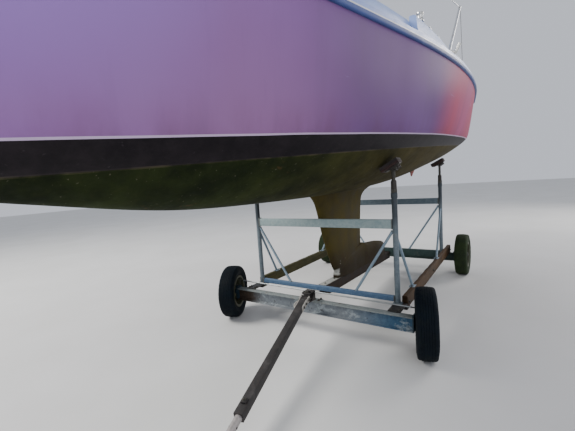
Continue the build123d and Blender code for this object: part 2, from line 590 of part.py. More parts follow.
cb = loft([[(BEAM_X[0], y, z0), (BEAM_X[1], y, z0), (BEAM_X[1], y, beam_z(y)), (BEAM_X[0], y, beam_z(y))]
           for y, z0 in ((22.9, 352.0), (40.6, 352.0), (41.6, 316.0), (2105.5, 236.0))])
add("centre_beam", cb)

# pads: a tilted board on each jack, shaped to the hull above it
pads = []
heads = []
for (yf, zb, zt), zc, tilt in zip(FRAMES, (1610.0, 1652.0), (30.0, 27.0)):
    for s in (-1, 1):
        tf = Pos(s * POST_X, yf, zc) * Rot(0, -s * tilt, 0)
        # the pad reaches further inboard than outboard of its screw
        pads.append((tf * Pos(-s * 32, 0, -14) * Box(172, 124, 44)) - hull_outer)
        h = tf * (Pos(0, -26, -62) * Box(60, 8, 50) + Pos(0, 26, -62) * Box(60, 8, 50) + Pos(-s * 24, 0, -40.4) * Box(140, 70, 8))
        heads.append(h - box(-2000, 2000, yf - 40, yf + 40, 1300, zt + 0.2))
add("support_pads", *pads)
heads = [max(h.solids(), key=lambda q: q.volume) for h in heads]
add("screw_jacks", *jacks, *heads)

# ------------------------------------------------------------ wheels
WHEEL_PLACES = {
    # name: x, y, turned about Z
    "front_port": (*FRONT_CENTRES["port"], STEER_PORT),
    "front_starboard": (*FRONT_CENTRES["starboard"], 180 + STEER_STARBOARD),
    "rear_port": (REAR_TRACK_X, REAR_AXLE_Y, 0),
    "rear_starboard": (-REAR_TRACK_S, REAR_AXLE_Y, 180),
}


def tyre_profile():
    w, r = TYRE_W / 2, TYRE_R
    b = 60.0
    return make_face([
        Line((-b, RIM_R + 0.3), (b, RIM_R + 0.3)),
        Line((b, RIM_R + 0.3), (b + 3, 186)),
        ThreePointArc((b + 3, 186), (w, 230), (w - 9, 276)),
        Line((w - 9, 276), (w - 20, 285.5)),
        ThreePointArc((w - 20, 285.5), (0, r), (-w + 20, 285.5)),
        Line((-w + 20, 285.5), (-w + 9, 276)),
        ThreePointArc((-w + 9, 276), (-w, 230), (-b - 3, 186)),
        Line((-b - 3, 186), (-b, RIM_R + 0.3))])


def rim_profile():
    # outboard is +x
    return make_face(Polyline(
        (-14, HUB_BORE_R), (-14, 38), (6, 38), (16, 62), (16, 96), (30, 128), (30, 150), (-72, 156), (-72, 178), (-66, 178),
        (-64, 166), (-20, 166), (-20, RIM_R), (20, RIM_R), (64, RIM_R), (66, 178), (72, 178), (72, 152), (38, 145), (38, 128),
        (26, 96), (26, 62), (30, 40), (62, 40), (72, 30), (72, 0), (63, 0), (63, HUB_BORE_R), close=True))


rim_local = revolve(rim_profile(), Axis.X, 360)
tyre_local = revolve(tyre_profile(), Axis.X, 360)
for nm, (x, y, turn) in WHEEL_PLACES.items():
    loc = Pos(x, y, TYRE_R) * Rot(0, 0, turn)
    add("wheel_" + nm, loc * rim_local)
    add("tyre_" + nm, loc * tyre_local)

# ------------------------------------------------------------ drawbar
YAW = atan2(465.0, 1870.0)
PITCH = atan2(325.0, hypot(465.0, 1870.0))
PIN = Vector(14.0, -363.0, 394.0)          # horizontal pin at the bar's root
KING = Vector(14.0 - 75 * sin(YAW), -363.0 + 75 * cos(YAW), 394.0)
BAR_W = 60.0
OUTER_LEN = 1335.0
EYE_AT = 2262.0
EYE_R = 15.0
KING_R = 11.0
PIN_R = 9.0
bracket = box(-112, 112, FRONT_AXLE_Y - 36, FRONT_AXLE_Y + 36, 340.2, 349)
for z0, z1 in ((349, 358), (430, 439)):
    plate = box(KING.X - 45, KING.X + 45, KING.Y, FRONT_AXLE_Y + 8, z0, z1) + Pos(KING.X, KING.Y, (z0 + z1) / 2) * Cylinder(45, z1 - z0)
    bracket = bracket + plate
bracket = bracket + box(KING.X - 45, KING.X + 45, FRONT_AXLE_Y - 8, FRONT_AXLE_Y + 8, 349, 439)
bracket = bracket + rod((KING.X, KING.Y, 340), (KING.X, KING.Y, 452), 2 * KING_R)
add("drawbar_bracket", bracket)

bar_frame = Plane(origin=PIN, x_dir=(cos(YAW), sin(YAW), 0), z_dir=(0, 0, 1))   # x across, y backwards
swivel = Pos(0, 75, 0) * (Cylinder(28, 66) - Cylinder(KING_R + 0.05, 70))
swivel = swivel + Pos(0, 46, 0) * Box(84, 32, 56) - Pos(0, 75, 0) * Cylinder(KING_R + 0.05, 70)
for s in (-1, 1):
    cheek = Pos(s * 38.2, 10, 0) * Box(8, 72, 56)
    swivel = swivel + cheek
swivel = swivel + Rot(0, 90, 0) * Cylinder(PIN_R, 100)
add("drawbar_swivel", bar_frame * swivel)

bar_dir = Plane(origin=PIN, x_dir=(cos(YAW), sin(YAW), 0),
                z_dir=(sin(YAW) * cos(PITCH), -cos(YAW) * cos(PITCH), -sin(PITCH)))  # z runs along the bar
outer = Pos(0, 0, 24) * Box(BAR_W, BAR_W, OUTER_LEN - 24, align=(Align.CENTER, Align.CENTER, Align.MIN))
outer = outer - Pos(0, 0, 56) * Box(BAR_W - 8, BAR_W - 8, OUTER_LEN, align=(Align.CENTER, Align.CENTER, Align.MIN))
outer = outer + Rot(0, 90, 0) * Cylinder(24, BAR_W) + Box(BAR_W, 48, 30, align=(Align.CENTER, Align.CENTER, Align.MIN))
outer = outer - Rot(0, 90, 0) * Cylinder(PIN_R + 0.05, 80)
add("drawbar", bar_dir * outer)
inner = Pos(0, 0, 900) * (Cylinder(24, EYE_AT - 900 - 26, align=(Align.CENTER, Align.CENTER, Align.MIN))
                          - Cylinder(20, 1000, align=(Align.CENTER, Align.CENTER, Align.MIN)))
inner = inner + Pos(0, 0, EYE_AT - 60) * Box(36, 20, 40, align=(Align.CENTER, Align.CENTER, Align.MIN))
inner = inner + Pos(0, 0, EYE_AT) * Rot(90, 0, 0) * Cylinder(34, 22)
inner = inner - Pos(0, 0, EYE_AT) * Rot(90, 0, 0) * Cylinder(EYE_R, 40)
collar = Pos(0, 0, OUTER_LEN - 60) * (Box(BAR_W - 8.4, BAR_W - 8.4, 60, align=(Align.CENTER, Align.CENTER, Align.MIN))
                                     - Cylinder(24.2, 60, align=(Align.CENTER, Align.CENTER, Align.MIN)))
add("drawbar_extension", bar_dir * inner, bar_dir * collar)

# ------------------------------------------------------------ rudder
# local frame: x across, q aft of the rudder axis, s up along it
RUD_O = Vector(0, 3490.0, 1588.0)
rake = atan2(TRANSOM_RAKE, 1.0)
rud = Plane(origin=RUD_O, x_dir=(1, 0, 0), z_dir=(0, sin(rake), cos(rake)))   # y = q, z = s


def qs(x0, x1, q0, q1, s0, s1):
    return box(x0, x1, q0, q1, s0, s1)


GUDGEONS = (180.0, 900.0)
PINTLE_R = 9.0
STOCK_TOP = 1225.0
BLADE_PIN = (215.0, 60.0)      # q, s
BLADE_UP = 125.0               # degrees raised at rest
gud = []
for sg in GUDGEONS:
    g = qs(-30, 30, -55.5, -49.5, sg - 45, sg + 45) + qs(-16, 16, -50, 0, sg - 12, sg + 12) + Pos(0, 0, sg) * Cylinder(20, 24)
    g = g - Pos(0, 0, sg) * Cylinder(PINTLE_R + 0.05, 40)
    gud.append((rud * g) - hull_outer - strake)
add("rudder_gudgeons", *gud)
stock = qs(-15, 15, 28, 190, 214, 1000) + qs(-15, 15, 28, 150, 990, STOCK_TOP)
for s in (-1, 1):
    stock = stock + qs(s * 15, s * 31, 28, 300, -40, 330)
    stock = stock + qs(s * 15, s * 21, 28, 130, 1090, STOCK_TOP)
for sg in GUDGEONS:
    stock = stock + qs(-15, 15, -10, 40, sg + 14, sg + 24) + qs(-15, 15, -10, 40, sg - 24, sg - 14)
    stock = stock + Pos(0, 0, sg) * Cylinder(PINTLE_R, 48)
    stock = stock - qs(-40, 40, 26, 34, sg - 12, sg + 12)
stock = stock + Pos(0, BLADE_PIN[0], BLADE_PIN[1]) * Rot(0, 90, 0) * Cylinder(8, 62)
head_gap = qs(-15.5, 15.5, 20, 160, 1120, STOCK_TOP + 5)
stock = stock - head_gap
stock = stock + Pos(0, 92, 1180) * Rot(0, 90, 0) * Cylinder(6, 42)
add("rudder_stock", rud * stock)

# blade, drawn hanging down and then turned up about its pin
blade_pts = [(-175, 60), (-140, 88), (60, 88), (85, 60), (85, -700), (60, -930), (10, -985), (-110, -985), (-160, -930), (-175, -700)]
blade = extrude(Plane.YZ * make_face(Polyline(*blade_pts, close=True)), 12, both=True)
blade = blade - Rot(0, 90, 0) * Cylinder(8.05, 60)
blade = Rot(BLADE_UP, 0, 0) * blade
add("rudder_blade", rud * (Pos(0, BLADE_PIN[0], BLADE_PIN[1]) * blade))

tp = rud * Pos(0, 92, 1180)
TILLER_PIN = tp.position
tiller = loft([[(TILLER_PIN.X - w, y, z - h), (TILLER_PIN.X + w, y, z - h), (TILLER_PIN.X + w, y, z + h), (TILLER_PIN.X - w, y, z + h)]
               for y, z, w, h in ((TILLER_PIN.Y + 30, TILLER_PIN.Z, 14.5, 20), (TILLER_PIN.Y - 60, TILLER_PIN.Z, 14.5, 20),
                                  (TILLER_PIN.Y - 420, TILLER_PIN.Z + 14, 14.5, 19), (TILLER_PIN.Y - 800, TILLER_PIN.Z + 46, 14.5, 17),
                                  (TILLER_PIN.Y - 1080, TILLER_PIN.Z + 50, 17, 16))])
tiller = tiller - Pos(TILLER_PIN) * Rot(0, 90, 0) * Cylinder(6.05, 60)
add("tiller", tiller)

# ------------------------------------------------------------ deck fittings
# columns: y, inset from the sheer, top y, top x, top z
STANCHIONS = [(760.0, 26.0, 1190.0, 1168.0, 3190.0), (-1200.0, 45.0, -1200.0, 700.0, 3160.0), (-2150.0, 45.0, -2150.0, 432.0, 3160.0)]
ST_D = 25.0
HOOK_D = 30.0
stn, wires = [], []
for side in (1, -1):
    tops = []
    for y, inset, ty, tx, tz in STANCHIONS:
        xs, zs = sheer_at(y)
        x = xs - inset - 14
        st = rod((side * x, y, zs - 10), (side * tx, ty, tz), ST_D) + Pos(side * x, y, zs + 46) * Cylinder(30, 30)
        if y > 0:
            # upturned hook at the foot of the aft stanchion
            st = st + bent([(side * x, y, zs + 68), (side * (x + 47), y + 96, zs + 68), (side * (x + 86), y + 104, zs + 150)], HOOK_D, 24.0)
        st = st - deck_solid - hull_outer - toe - mirror_x(toe)
        stn.append(max(st.solids(), key=lambda q: q.volume))
        tops.append(Vector(side * tx, ty, tz - 12))
    tops.append(Vector(side * 338, -2790, 3150))
    # a lashing from the aft stanchion's head down to the toe rail
    wires.append(rod((side * (STANCHIONS[0][3] + 1), STANCHIONS[0][2] + 14, STANCHIONS[0][4] - 14), (side * 1180, 1206, 2652), 5.0))
    for a, b in zip(tops, tops[1:]):
        d = (b - a).normalized()
        p0, p1 = a + d * (26 if a is tops[0] else 17), b - d * 17
        wires.append(rod((p0.X, p0.Y, p0.Z), (p1.X, p1.Y, p1.Z), 6.0))
add("stanchions", *stn)
add("guard_wires", *wires)

pulpit = bent([(352, -2700, 2560), (338, -2790, 3162), (128, -3500, 3180), (-128, -3500, 3180), (-338, -2790, 3162), (-352, -2700, 2560)], 25.0, 60.0)
for s in (-1, 1):
    pulpit = pulpit + rod((s * 74, -3330, 2570), (s * 168, -3360, 3176), 25.0)
pulpit = pulpit - deck_solid - hull_outer - toe - mirror_x(toe) - strake - mirror_x(strake)
add("pulpit", max(pulpit.solids(), key=lambda q: q.volume))

stem_fit = box(-16, 16, -3640, -3420, 2608, 2660) + box(-4, 4, -3700, -3560, 2600, 2700)
stem_fit = stem_fit - Pos(0, -3672, 2672) * Rot(0, 90, 0) * Cylinder(6, 40) - deck_solid - hull_outer
add("stem_fitting", max(stem_fit.solids(), key=lambda q: q.volume))

winches = []
for s in (-1, 1):
    winches.append(Pos(s * 858, 790, 2996) * (Cylinder(36, 14, align=(Align.CENTER, Align.CENTER, Align.MIN))
                   + Pos(0, 0, 14) * Cone(34, 27, 40, align=(Align.CENTER, Align.CENTER, Align.MIN))
                   + Pos(0, 0, 54) * Cone(27, 35, 34, align=(Align.CENTER, Align.CENTER, Align.MIN))))
add("winches", *winches)
cleats = []
# columns: x, y, z of the seat, length
CLEATS = [(890.0, 1120.0, 2993.5, 130.0), (918.0, 1420.0, 2987.0, 130.0), (0.0, -3060.0, 2607.0, 200.0), (880.0, 3260.0, 2650.0, 180.0)]
for x, y, z, n in CLEATS:
    for s in ((1, -1) if x else (1,)):
        c = Pos(s * x, y, z) * (Pos(0, 0, 34) * Rot(90, 0, 0) * Cylinder(8, n) + Pos(0, -n * 0.18, 0) * Cylinder(8, 34, align=(Align.CENTER, Align.CENTER, Align.MIN))
                                + Pos(0, n * 0.18, 0) * Cylinder(8, 34, align=(Align.CENTER, Align.CENTER, Align.MIN)) + Box(26, n * 0.6, 6, align=(Align.CENTER, Align.CENTER, Align.MIN)))
        c = c - deck_solid - coam - mirror_x(coam)
        cleats.append(max(c.solids(), key=lambda q: q.volume))
add("cleats", *cleats)
chain = []
for s in (-1, 1):
    for y in (-120.0, 240.0):
        xs, zs = sheer_at(y)
        c = box(s * (xs - 78) - 2.5, s * (xs - 78) + 2.5, y - 16, y + 16, zs + 20, zs + 92) - Pos(s * (xs - 78), y, zs + 76) * Rot(0, 90, 0) * Cylinder(5, 20)
        chain.append((c - deck_solid - hull_outer))
add("chainplates", *chain)

# ------------------------------------------------------------ mast and boom stowed on deck
MAST_HX, MAST_HZ = 38.0, 55.0
mast_prof = Plane(origin=(0, MAST_Y[0], MAST_Z), x_dir=(1, 0, 0), z_dir=(0, 1, 0))
oval = make_face([Line((-14, -MAST_HZ), (14, -MAST_HZ)), ThreePointArc((14, -MAST_HZ), (MAST_HX, 0), (14, MAST_HZ)),
                  Line((14, MAST_HZ), (-14, MAST_HZ)), ThreePointArc((-14, MAST_HZ), (-MAST_HX, 0), (-14, -MAST_HZ))])
mast = extrude(mast_prof * oval, MAST_Y[1] - MAST_Y[0])
mast = mast + box(-6, 6, MAST_Y[1] - 10, MAST_Y[1] + 60, MAST_Z - 50, MAST_Z + 50)
add("mast", mast)
boom_prof = Plane(origin=(128, -620, MAST_Z - 14), x_dir=(1, 0, 0), z_dir=(0, 1, 0))
boom = extrude(boom_prof * RectangleRounded(56, 82, 24), 2900)
add("boom", boom)

MAST_LOW = MAST_Z - MAST_HZ
# columns: half width, y0, y1, z0, z1 of the block under the mast, and z0 of its two cheeks
crutch = []
for hw, y0, y1, z0, zc, under in ((62, -3530, -3470, 3192.8, 3192.8, None), (60, -930, -890, 2900, 3100, roof_outer), (340, 3280, 3320, 3150, 3150, None)):
    ci = 41.7
    block = box(-ci, ci, y0, y1, z0, MAST_LOW - 0.3) if hw < 100 else box(-hw, hw, y0, y1, z0, MAST_LOW - 0.3)
    if under is not None:
        block = block - under
    crutch.append(max(block.solids(), key=lambda q: q.volume))
    for s in (-1, 1):
        low = zc if hw < 100 else MAST_LOW - 0.1
        crutch.append(box(s * (ci + 0.2), s * 62, y0, y1, low, MAST_Z))
# the two legs of the stern crutch, wide enough apart for the tiller to swing between them
for s in (-1, 1):
    leg = bar((s * 430, 3300, 2560), (s * 305, 3300, 3190), 40, 60, up=(0, 1, 0)) - deck_solid - hull_outer
    leg = leg - box(-400, 400, 3200, 3400, 3149.8, 3400)
    crutch.append(max(leg.solids(), key=lambda q: q.volume))
# boom chocks stand on the coachroof and the stern crutch's crosspiece side
b1 = box(96, 160, -500, -470, 2950, MAST_Z - 14 - 41.3) - roof_outer - fuse(runners)
crutch.append(max(b1.solids(), key=lambda q: q.volume))
add("mast_crutches", *crutch)
strop = box(92, 164, 2120, 2150, MAST_Z - 14 + 41.3, MAST_Z + 60) + box(-50, 164, 2120, 2150, MAST_Z + 55.3, MAST_Z + 60)
add("boom_strop", strop)

# outboard bracket on the transom, port side
ob = rud * (qs(330, 350, -50, 40, 690, 900) + qs(470, 490, -50, 40, 690, 900) + qs(310, 510, 40, 78, 640, 920))
ob = ob - hull_outer
add("outboard_bracket", max(ob.solids(), key=lambda q: q.volume))

# ------------------------------------------------------------ write
def place(s):
    return Pos(0, ORIGIN_SHIFT_Y, 0) * s


def write():
    os.makedirs("parts", exist_ok=True)
    for name, solids in NODES.items():
        comp = Compound(children=[place(s) for s in solids]) if len(solids) > 1 else place(solids[0])
        export_step(comp, "parts/" + name + ".step")


write()
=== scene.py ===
import bpy, bmesh, random
import numpy as np
from math import sin, cos, tan, atan2, hypot, radians, pi, sqrt
from mathutils import Vector, Matrix, Euler


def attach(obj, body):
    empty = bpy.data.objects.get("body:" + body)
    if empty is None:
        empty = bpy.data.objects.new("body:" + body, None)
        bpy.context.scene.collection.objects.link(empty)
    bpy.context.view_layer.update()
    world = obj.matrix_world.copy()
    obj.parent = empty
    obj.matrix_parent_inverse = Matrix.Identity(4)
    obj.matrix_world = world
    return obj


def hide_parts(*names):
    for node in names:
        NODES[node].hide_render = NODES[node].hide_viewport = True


# A small keeled sailing yacht standing on a four-wheeled yard cradle.
# Tables are in millimetres, with y = 0 at the cradle's front frame; SHIFT moves
# them to the middle of the length. +X is the boat's port side, -Y is the bow.

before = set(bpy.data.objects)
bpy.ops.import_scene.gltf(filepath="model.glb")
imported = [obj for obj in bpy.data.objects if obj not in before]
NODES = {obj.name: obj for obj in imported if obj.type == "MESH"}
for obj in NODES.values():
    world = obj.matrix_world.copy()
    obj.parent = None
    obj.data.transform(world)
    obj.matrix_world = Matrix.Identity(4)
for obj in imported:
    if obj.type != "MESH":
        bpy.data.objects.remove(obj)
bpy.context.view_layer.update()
SHIFT = -124.48
ROOT = "yacht_and_cradle"
rng = random.Random(7)
scene = bpy.context.scene


def P(x, y, z):
    """A point of the tables, in metres in the shared frame."""
    return Vector((x / 1000.0, (y + SHIFT) / 1000.0, z / 1000.0))


# ====================================================================== materials
class Mat:
    """A small helper that builds one procedural material."""

    def __init__(self, name):
        self.m = bpy.data.materials.new(name)
        self.m.use_nodes = True
        self.t = self.m.node_tree
        self.t.nodes.clear()
        self.out = self.node("ShaderNodeOutputMaterial")
        self.b = self.node("ShaderNodeBsdfPrincipled")
        self.t.links.new(self.b.outputs[0], self.out.inputs[0])
        tc = self.node("ShaderNodeTexCoord")
        self.obj = tc.outputs["Object"]
        self._sep = None
        self.bumps = []

    def node(self, kind, **attrs):
        n = self.t.nodes.new(kind)
        for k, v in attrs.items():
            setattr(n, k, v)
        return n

    def put(self, socket, value):
        if isinstance(value, bpy.types.NodeSocket):
            self.t.links.new(value, socket)
        elif isinstance(value, (tuple, list)) and len(value) == 3 and socket.type == "RGBA":
            socket.default_value = (*value, 1.0)
        else:
            socket.default_value = value

    def xyz(self):
        if self._sep is None:
            s = self.node("ShaderNodeSeparateXYZ")
            self.put(s.inputs[0], self.obj)
            self._sep = s
        return self._sep.outputs[0], self._sep.outputs[1], self._sep.outputs[2]

    def normal_z(self):
        g = self.node("ShaderNodeNewGeometry")
        s = self.node("ShaderNodeSeparateXYZ")
        self.put(s.inputs[0], g.outputs["Normal"])
        return s.outputs[2]

    def stretch(self, sx, sy, sz, vec=None, rot=(0, 0, 0)):
        n = self.node("ShaderNodeMapping")
        self.put(n.inputs[0], vec or self.obj)
        n.inputs["Scale"].default_value = (sx, sy, sz)
        n.inputs["Rotation"].default_value = rot
        return n.outputs[0]

    def noise(self, scale, detail=4.0, rough=0.55, vec=None, dist=0.0):
        n = self.node("ShaderNodeTexNoise")
        self.put(n.inputs["Vector"], vec or self.obj)
        n.inputs["Scale"].default_value = scale
        n.inputs["Detail"].default_value = detail
        n.inputs["Roughness"].default_value = rough
        n.inputs["Distortion"].default_value = dist
        return n.outputs[0]

    def voronoi(self, scale, vec=None, feature="F1", rand=1.0):
        n = self.node("ShaderNodeTexVoronoi", feature=feature)
        self.put(n.inputs["Vector"], vec or self.obj)
        n.inputs["Scale"].default_value = scale
        n.inputs["Randomness"].default_value = rand
        return n.outputs[0]

    def wave(self, scale, vec=None, dist=0.0, detail=2.0, dscale=1.0, direction="X", kind="BANDS"):
        n = self.node("ShaderNodeTexWave", wave_type=kind)
        if kind == "BANDS":
            n.bands_direction = direction
        self.put(n.inputs["Vector"], vec or self.obj)
        n.inputs["Scale"].default_value = scale
        n.inputs["Distortion"].default_value = dist
        n.inputs["Detail"].default_value = detail
        n.inputs["Detail Scale"].default_value = dscale
        return n.outputs[1]

    def math(self, op, a, b=0.0, c=0.0, clamp=False):
        n = self.node("ShaderNodeMath", operation=op, use_clamp=clamp)
        self.put(n.inputs[0], a)
        self.put(n.inputs[1], b)
        if len(n.inputs) > 2:
            self.put(n.inputs[2], c)
        return n.outputs[0]

    def span(self, v, a, b, lo=0.0, hi=1.0, smooth=False):
        """v mapped from a..b to lo..hi, clamped."""
        n = self.node("ShaderNodeMapRange", clamp=True)
        if smooth:
            n.interpolation_type = "SMOOTHSTEP"
        self.put(n.inputs[0], v)
        for k, x in zip((1, 2, 3, 4), (a, b, lo, hi)):
            self.put(n.inputs[k], x)
        return n.outputs[0]

    def mix(self, f, a, b, mode="MIX"):
        n = self.node("ShaderNodeMix", data_type="RGBA", blend_type=mode, clamp_factor=True)
        self.put(n.inputs[0], f)
        self.put(n.inputs[6], a)
        self.put(n.inputs[7], b)
        return n.outputs[2]

    def mixf(self, f, a, b):
        n = self.node("ShaderNodeMix", data_type="FLOAT", clamp_factor=True)
        self.put(n.inputs[0], f)
        self.put(n.inputs[2], a)
        self.put(n.inputs[3], b)
        return n.outputs[0]

    def ramp(self, f, stops):
        n = self.node("ShaderNodeValToRGB")
        e = n.color_ramp.elements
        while len(e) < len(stops):
            e.new(0.5)
        for k, (p, c) in enumerate(stops):
            e[k].position = p
            e[k].color = (*c, 1.0)
        self.put(n.inputs[0], f)
        return n.outputs[0]

    def bump(self, height, strength=0.3, dist=0.002):
        self.bumps.append((height, strength, dist))

    def done(self, color, rough=0.5, metal=0.0, **kw):
        self.put(self.b.inputs["Base Color"], color)
        self.put(self.b.inputs["Roughness"], rough)
        self.put(self.b.inputs["Metallic"], metal)
        for k, v in kw.items():
            self.put(self.b.inputs[k], v)
        prev = None
        for h, s, d in self.bumps:
            n = self.node("ShaderNodeBump")
            n.inputs["Strength"].default_value = s
            n.inputs["Distance"].default_value = d
            self.put(n.inputs["Height"], h)
            if prev is not None:
                self.put(n.inputs["Normal"], prev)
            prev = n.outputs[0]
        if prev is not None:
            self.put(self.b.inputs["Normal"], prev)
        return self.m


def srgb(r, g, b):
    """A colour given in 0-255 screen values."""
    def f(c):
        c /= 255.0
        return c / 12.92 if c <= 0.04045 else ((c + 0.055) / 1.055) ** 2.4
    return (f(r), f(g), f(b))


BOOT_Z0, BOOT_SLOPE = 1.828, 0.0525       # boot-top plane, metres, y from the cradle's front frame
S = SHIFT / 1000.0


def mat_hull():
    m = Mat("hull_paint")
    x, y, z = m.xyz()
    yc = m.math("SUBTRACT", y, S)
    wob = m.math("MULTIPLY", m.math("SUBTRACT", m.noise(1.3, 2.0), 0.5), 0.006)
    top = m.math("SUBTRACT", z, m.math("ADD", m.math("MULTIPLY", yc, BOOT_SLOPE), BOOT_Z0))
    top = m.math("ADD", top, wob)
    low_off = m.span(yc, -2.0, 3.4, -0.118, -0.095)
    low = m.math("SUBTRACT", m.math("ADD", top, m.math("MULTIPLY", wob, -1.6)), low_off)
    # topsides: off-white and chalky, coloured with painted shade (lilac sky light, darker and pinker low down, darker
    # from amidships aft) and a painted red reflection aft
    big = m.noise(0.7, 3.0, 0.5)
    streak = m.noise(5.0, 4.0, 0.6, m.stretch(1.0, 1.0, 0.10))
    fine = m.noise(60.0, 3.0, 0.6)
    # painted shade: the off-white topsides given the lilac of sky light in shade, darker and pinker towards the boot
    # top
    c = m.mix(m.span(yc, -2.5, -1.7), srgb(146, 108, 198), srgb(138, 98, 156))
    c = m.mix(m.span(top, 0.10, 0.62), m.mix(0.6, c, srgb(134, 84, 116)), c)
    # painted shade: the topsides darker from amidships aft
    c = m.mix(m.span(yc, -1.6, -0.6, smooth=True), c, srgb(100, 68, 116))
    # painted reflection: a red tint on the aft topsides, a red wall reflected in the paint
    c = m.mix(m.span(yc, 0.35, 1.3, smooth=True), c, srgb(165, 62, 86))
    c = m.mix(m.math("MULTIPLY", m.span(big, 0.38, 0.72), 0.25), c, srgb(160, 134, 188))
    c = m.mix(m.span(streak, 0.52, 0.78, 0.0, 0.28), c, srgb(100, 76, 110))
    grime = m.math("MULTIPLY", m.span(top, 0.22, 0.0), m.span(m.noise(4.0, 5.0, 0.6, m.stretch(1, 1, 0.25)), 0.42, 0.75))
    c = m.mix(m.math("MULTIPLY", grime, 0.5), c, srgb(100, 66, 86))
    scuff = m.math("MULTIPLY", m.span(m.noise(2.2, 6.0, 0.7, m.stretch(0.4, 0.4, 3.0)), 0.66, 0.72), 0.35)
    c = m.mix(m.math("MULTIPLY", scuff, 0.6), c, srgb(186, 166, 204))
    # boot stripe
    boot = m.mix(m.span(m.noise(9.0, 5.0, 0.7), 0.4, 0.75), srgb(20, 16, 20), srgb(36, 30, 34))
    boot = m.mix(m.math("MULTIPLY", m.span(m.noise(38.0, 3.0, 0.6), 0.67, 0.73), 0.3), boot, srgb(76, 68, 72))
    # antifouling: green-black forward, olive-brown aft, thin and patchy
    a1 = m.noise(3.0, 6.0, 0.62)
    a2 = m.noise(14.0, 5.0, 0.65)
    aff = m.mix(m.span(a1, 0.36, 0.66), srgb(14, 23, 3), srgb(38, 48, 16))
    afa = m.mix(m.span(a1, 0.36, 0.66), srgb(54, 48, 24), srgb(76, 68, 36))
    af = m.mix(m.span(m.math("ADD", yc, m.math("MULTIPLY", a1, 0.7)), -1.3, 1.2, smooth=True), aff, afa)
    af = m.mix(m.math("MULTIPLY", m.span(a2, 0.55, 0.75), 0.4), af, srgb(50, 52, 34))
    af = m.mix(m.math("MULTIPLY", m.span(m.noise(55.0, 2.0, 0.5), 0.70, 0.74), 0.45), af, srgb(104, 100, 82))
    patch = m.math("MULTIPLY", m.span(m.noise(7.5, 5.0, 0.7, m.stretch(1.0, 0.55, 1.0)), 0.665, 0.72), 0.35)
    af = m.mix(patch, af, srgb(84, 62, 36))
    is_top = m.math("GREATER_THAN", top, 0.0)
    is_boot = m.math("GREATER_THAN", low, 0.0)
    col = m.mix(is_boot, af, boot)
    line_low = m.math("MULTIPLY", m.math("LESS_THAN", m.math("ABSOLUTE", low), 0.005), m.span(m.noise(6.0), 0.4, 0.6, 0.05, 0.35))
    col = m.mix(line_low, col, srgb(92, 84, 66))
    col = m.mix(is_top, col, c)
    line_top = m.math("LESS_THAN", m.math("ABSOLUTE", m.math("SUBTRACT", top, 0.004)), 0.005)
    col = m.mix(m.math("MULTIPLY", line_top, 0.7), col, srgb(206, 188, 214))
    r_top = m.span(big, 0.3, 0.7, 0.36, 0.48)
    rough = m.mixf(is_top, m.mixf(is_boot, m.span(a2, 0.3, 0.7, 0.74, 0.95), 0.55), r_top)
    # orange-peel on the topsides, brushed coats below
    m.bump(m.math("MULTIPLY", fine, m.mixf(is_top, 1.0, 0.10)), 0.35, 0.0012)
    m.bump(m.noise(9.0, 3.0, 0.5), 0.12, 0.004)
    return m.done(col, rough, 0.0, **{"Specular IOR Level": m.mixf(is_top, 0.14, m.span(yc, -1.7, -0.2, 0.22, 0.03))})


def mat_gelcoat(name, a, b, rough=0.34, dirt=srgb(120, 112, 96), amount=0.35):
    m = Mat(name)
    c = m.mix(m.span(m.noise(1.6, 4.0), 0.35, 0.7), a, b)
    c = m.mix(m.math("MULTIPLY", m.span(m.noise(9.0, 6.0, 0.68), 0.5, 0.78), amount), c, dirt)
    c = m.mix(m.math("MULTIPLY", m.span(m.noise(70.0, 2.0), 0.70, 0.74), 0.5), c, dirt)
    m.bump(m.noise(90.0, 2.0), 0.15, 0.0006)
    return m.done(c, m.span(m.noise(5.0, 3.0), 0.3, 0.7, rough - 0.06, rough + 0.14), 0.0, **{"Coat Weight": 0.15, "Coat Roughness": 0.25})


def mat_nonskid(name, a, b):
    m = Mat(name)
    c = m.mix(m.span(m.noise(2.5, 5.0), 0.35, 0.7), a, b)
    c = m.mix(m.math("MULTIPLY", m.span(m.noise(12.0, 6.0, 0.7), 0.5, 0.75), 0.35), c, srgb(112, 108, 92))
    v = m.voronoi(260.0)
    m.bump(v, 0.6, 0.0012)
    return m.done(m.mix(m.span(v, 0.0, 0.7, 0.25, 0.0), c, srgb(120, 118, 108)), 0.72)


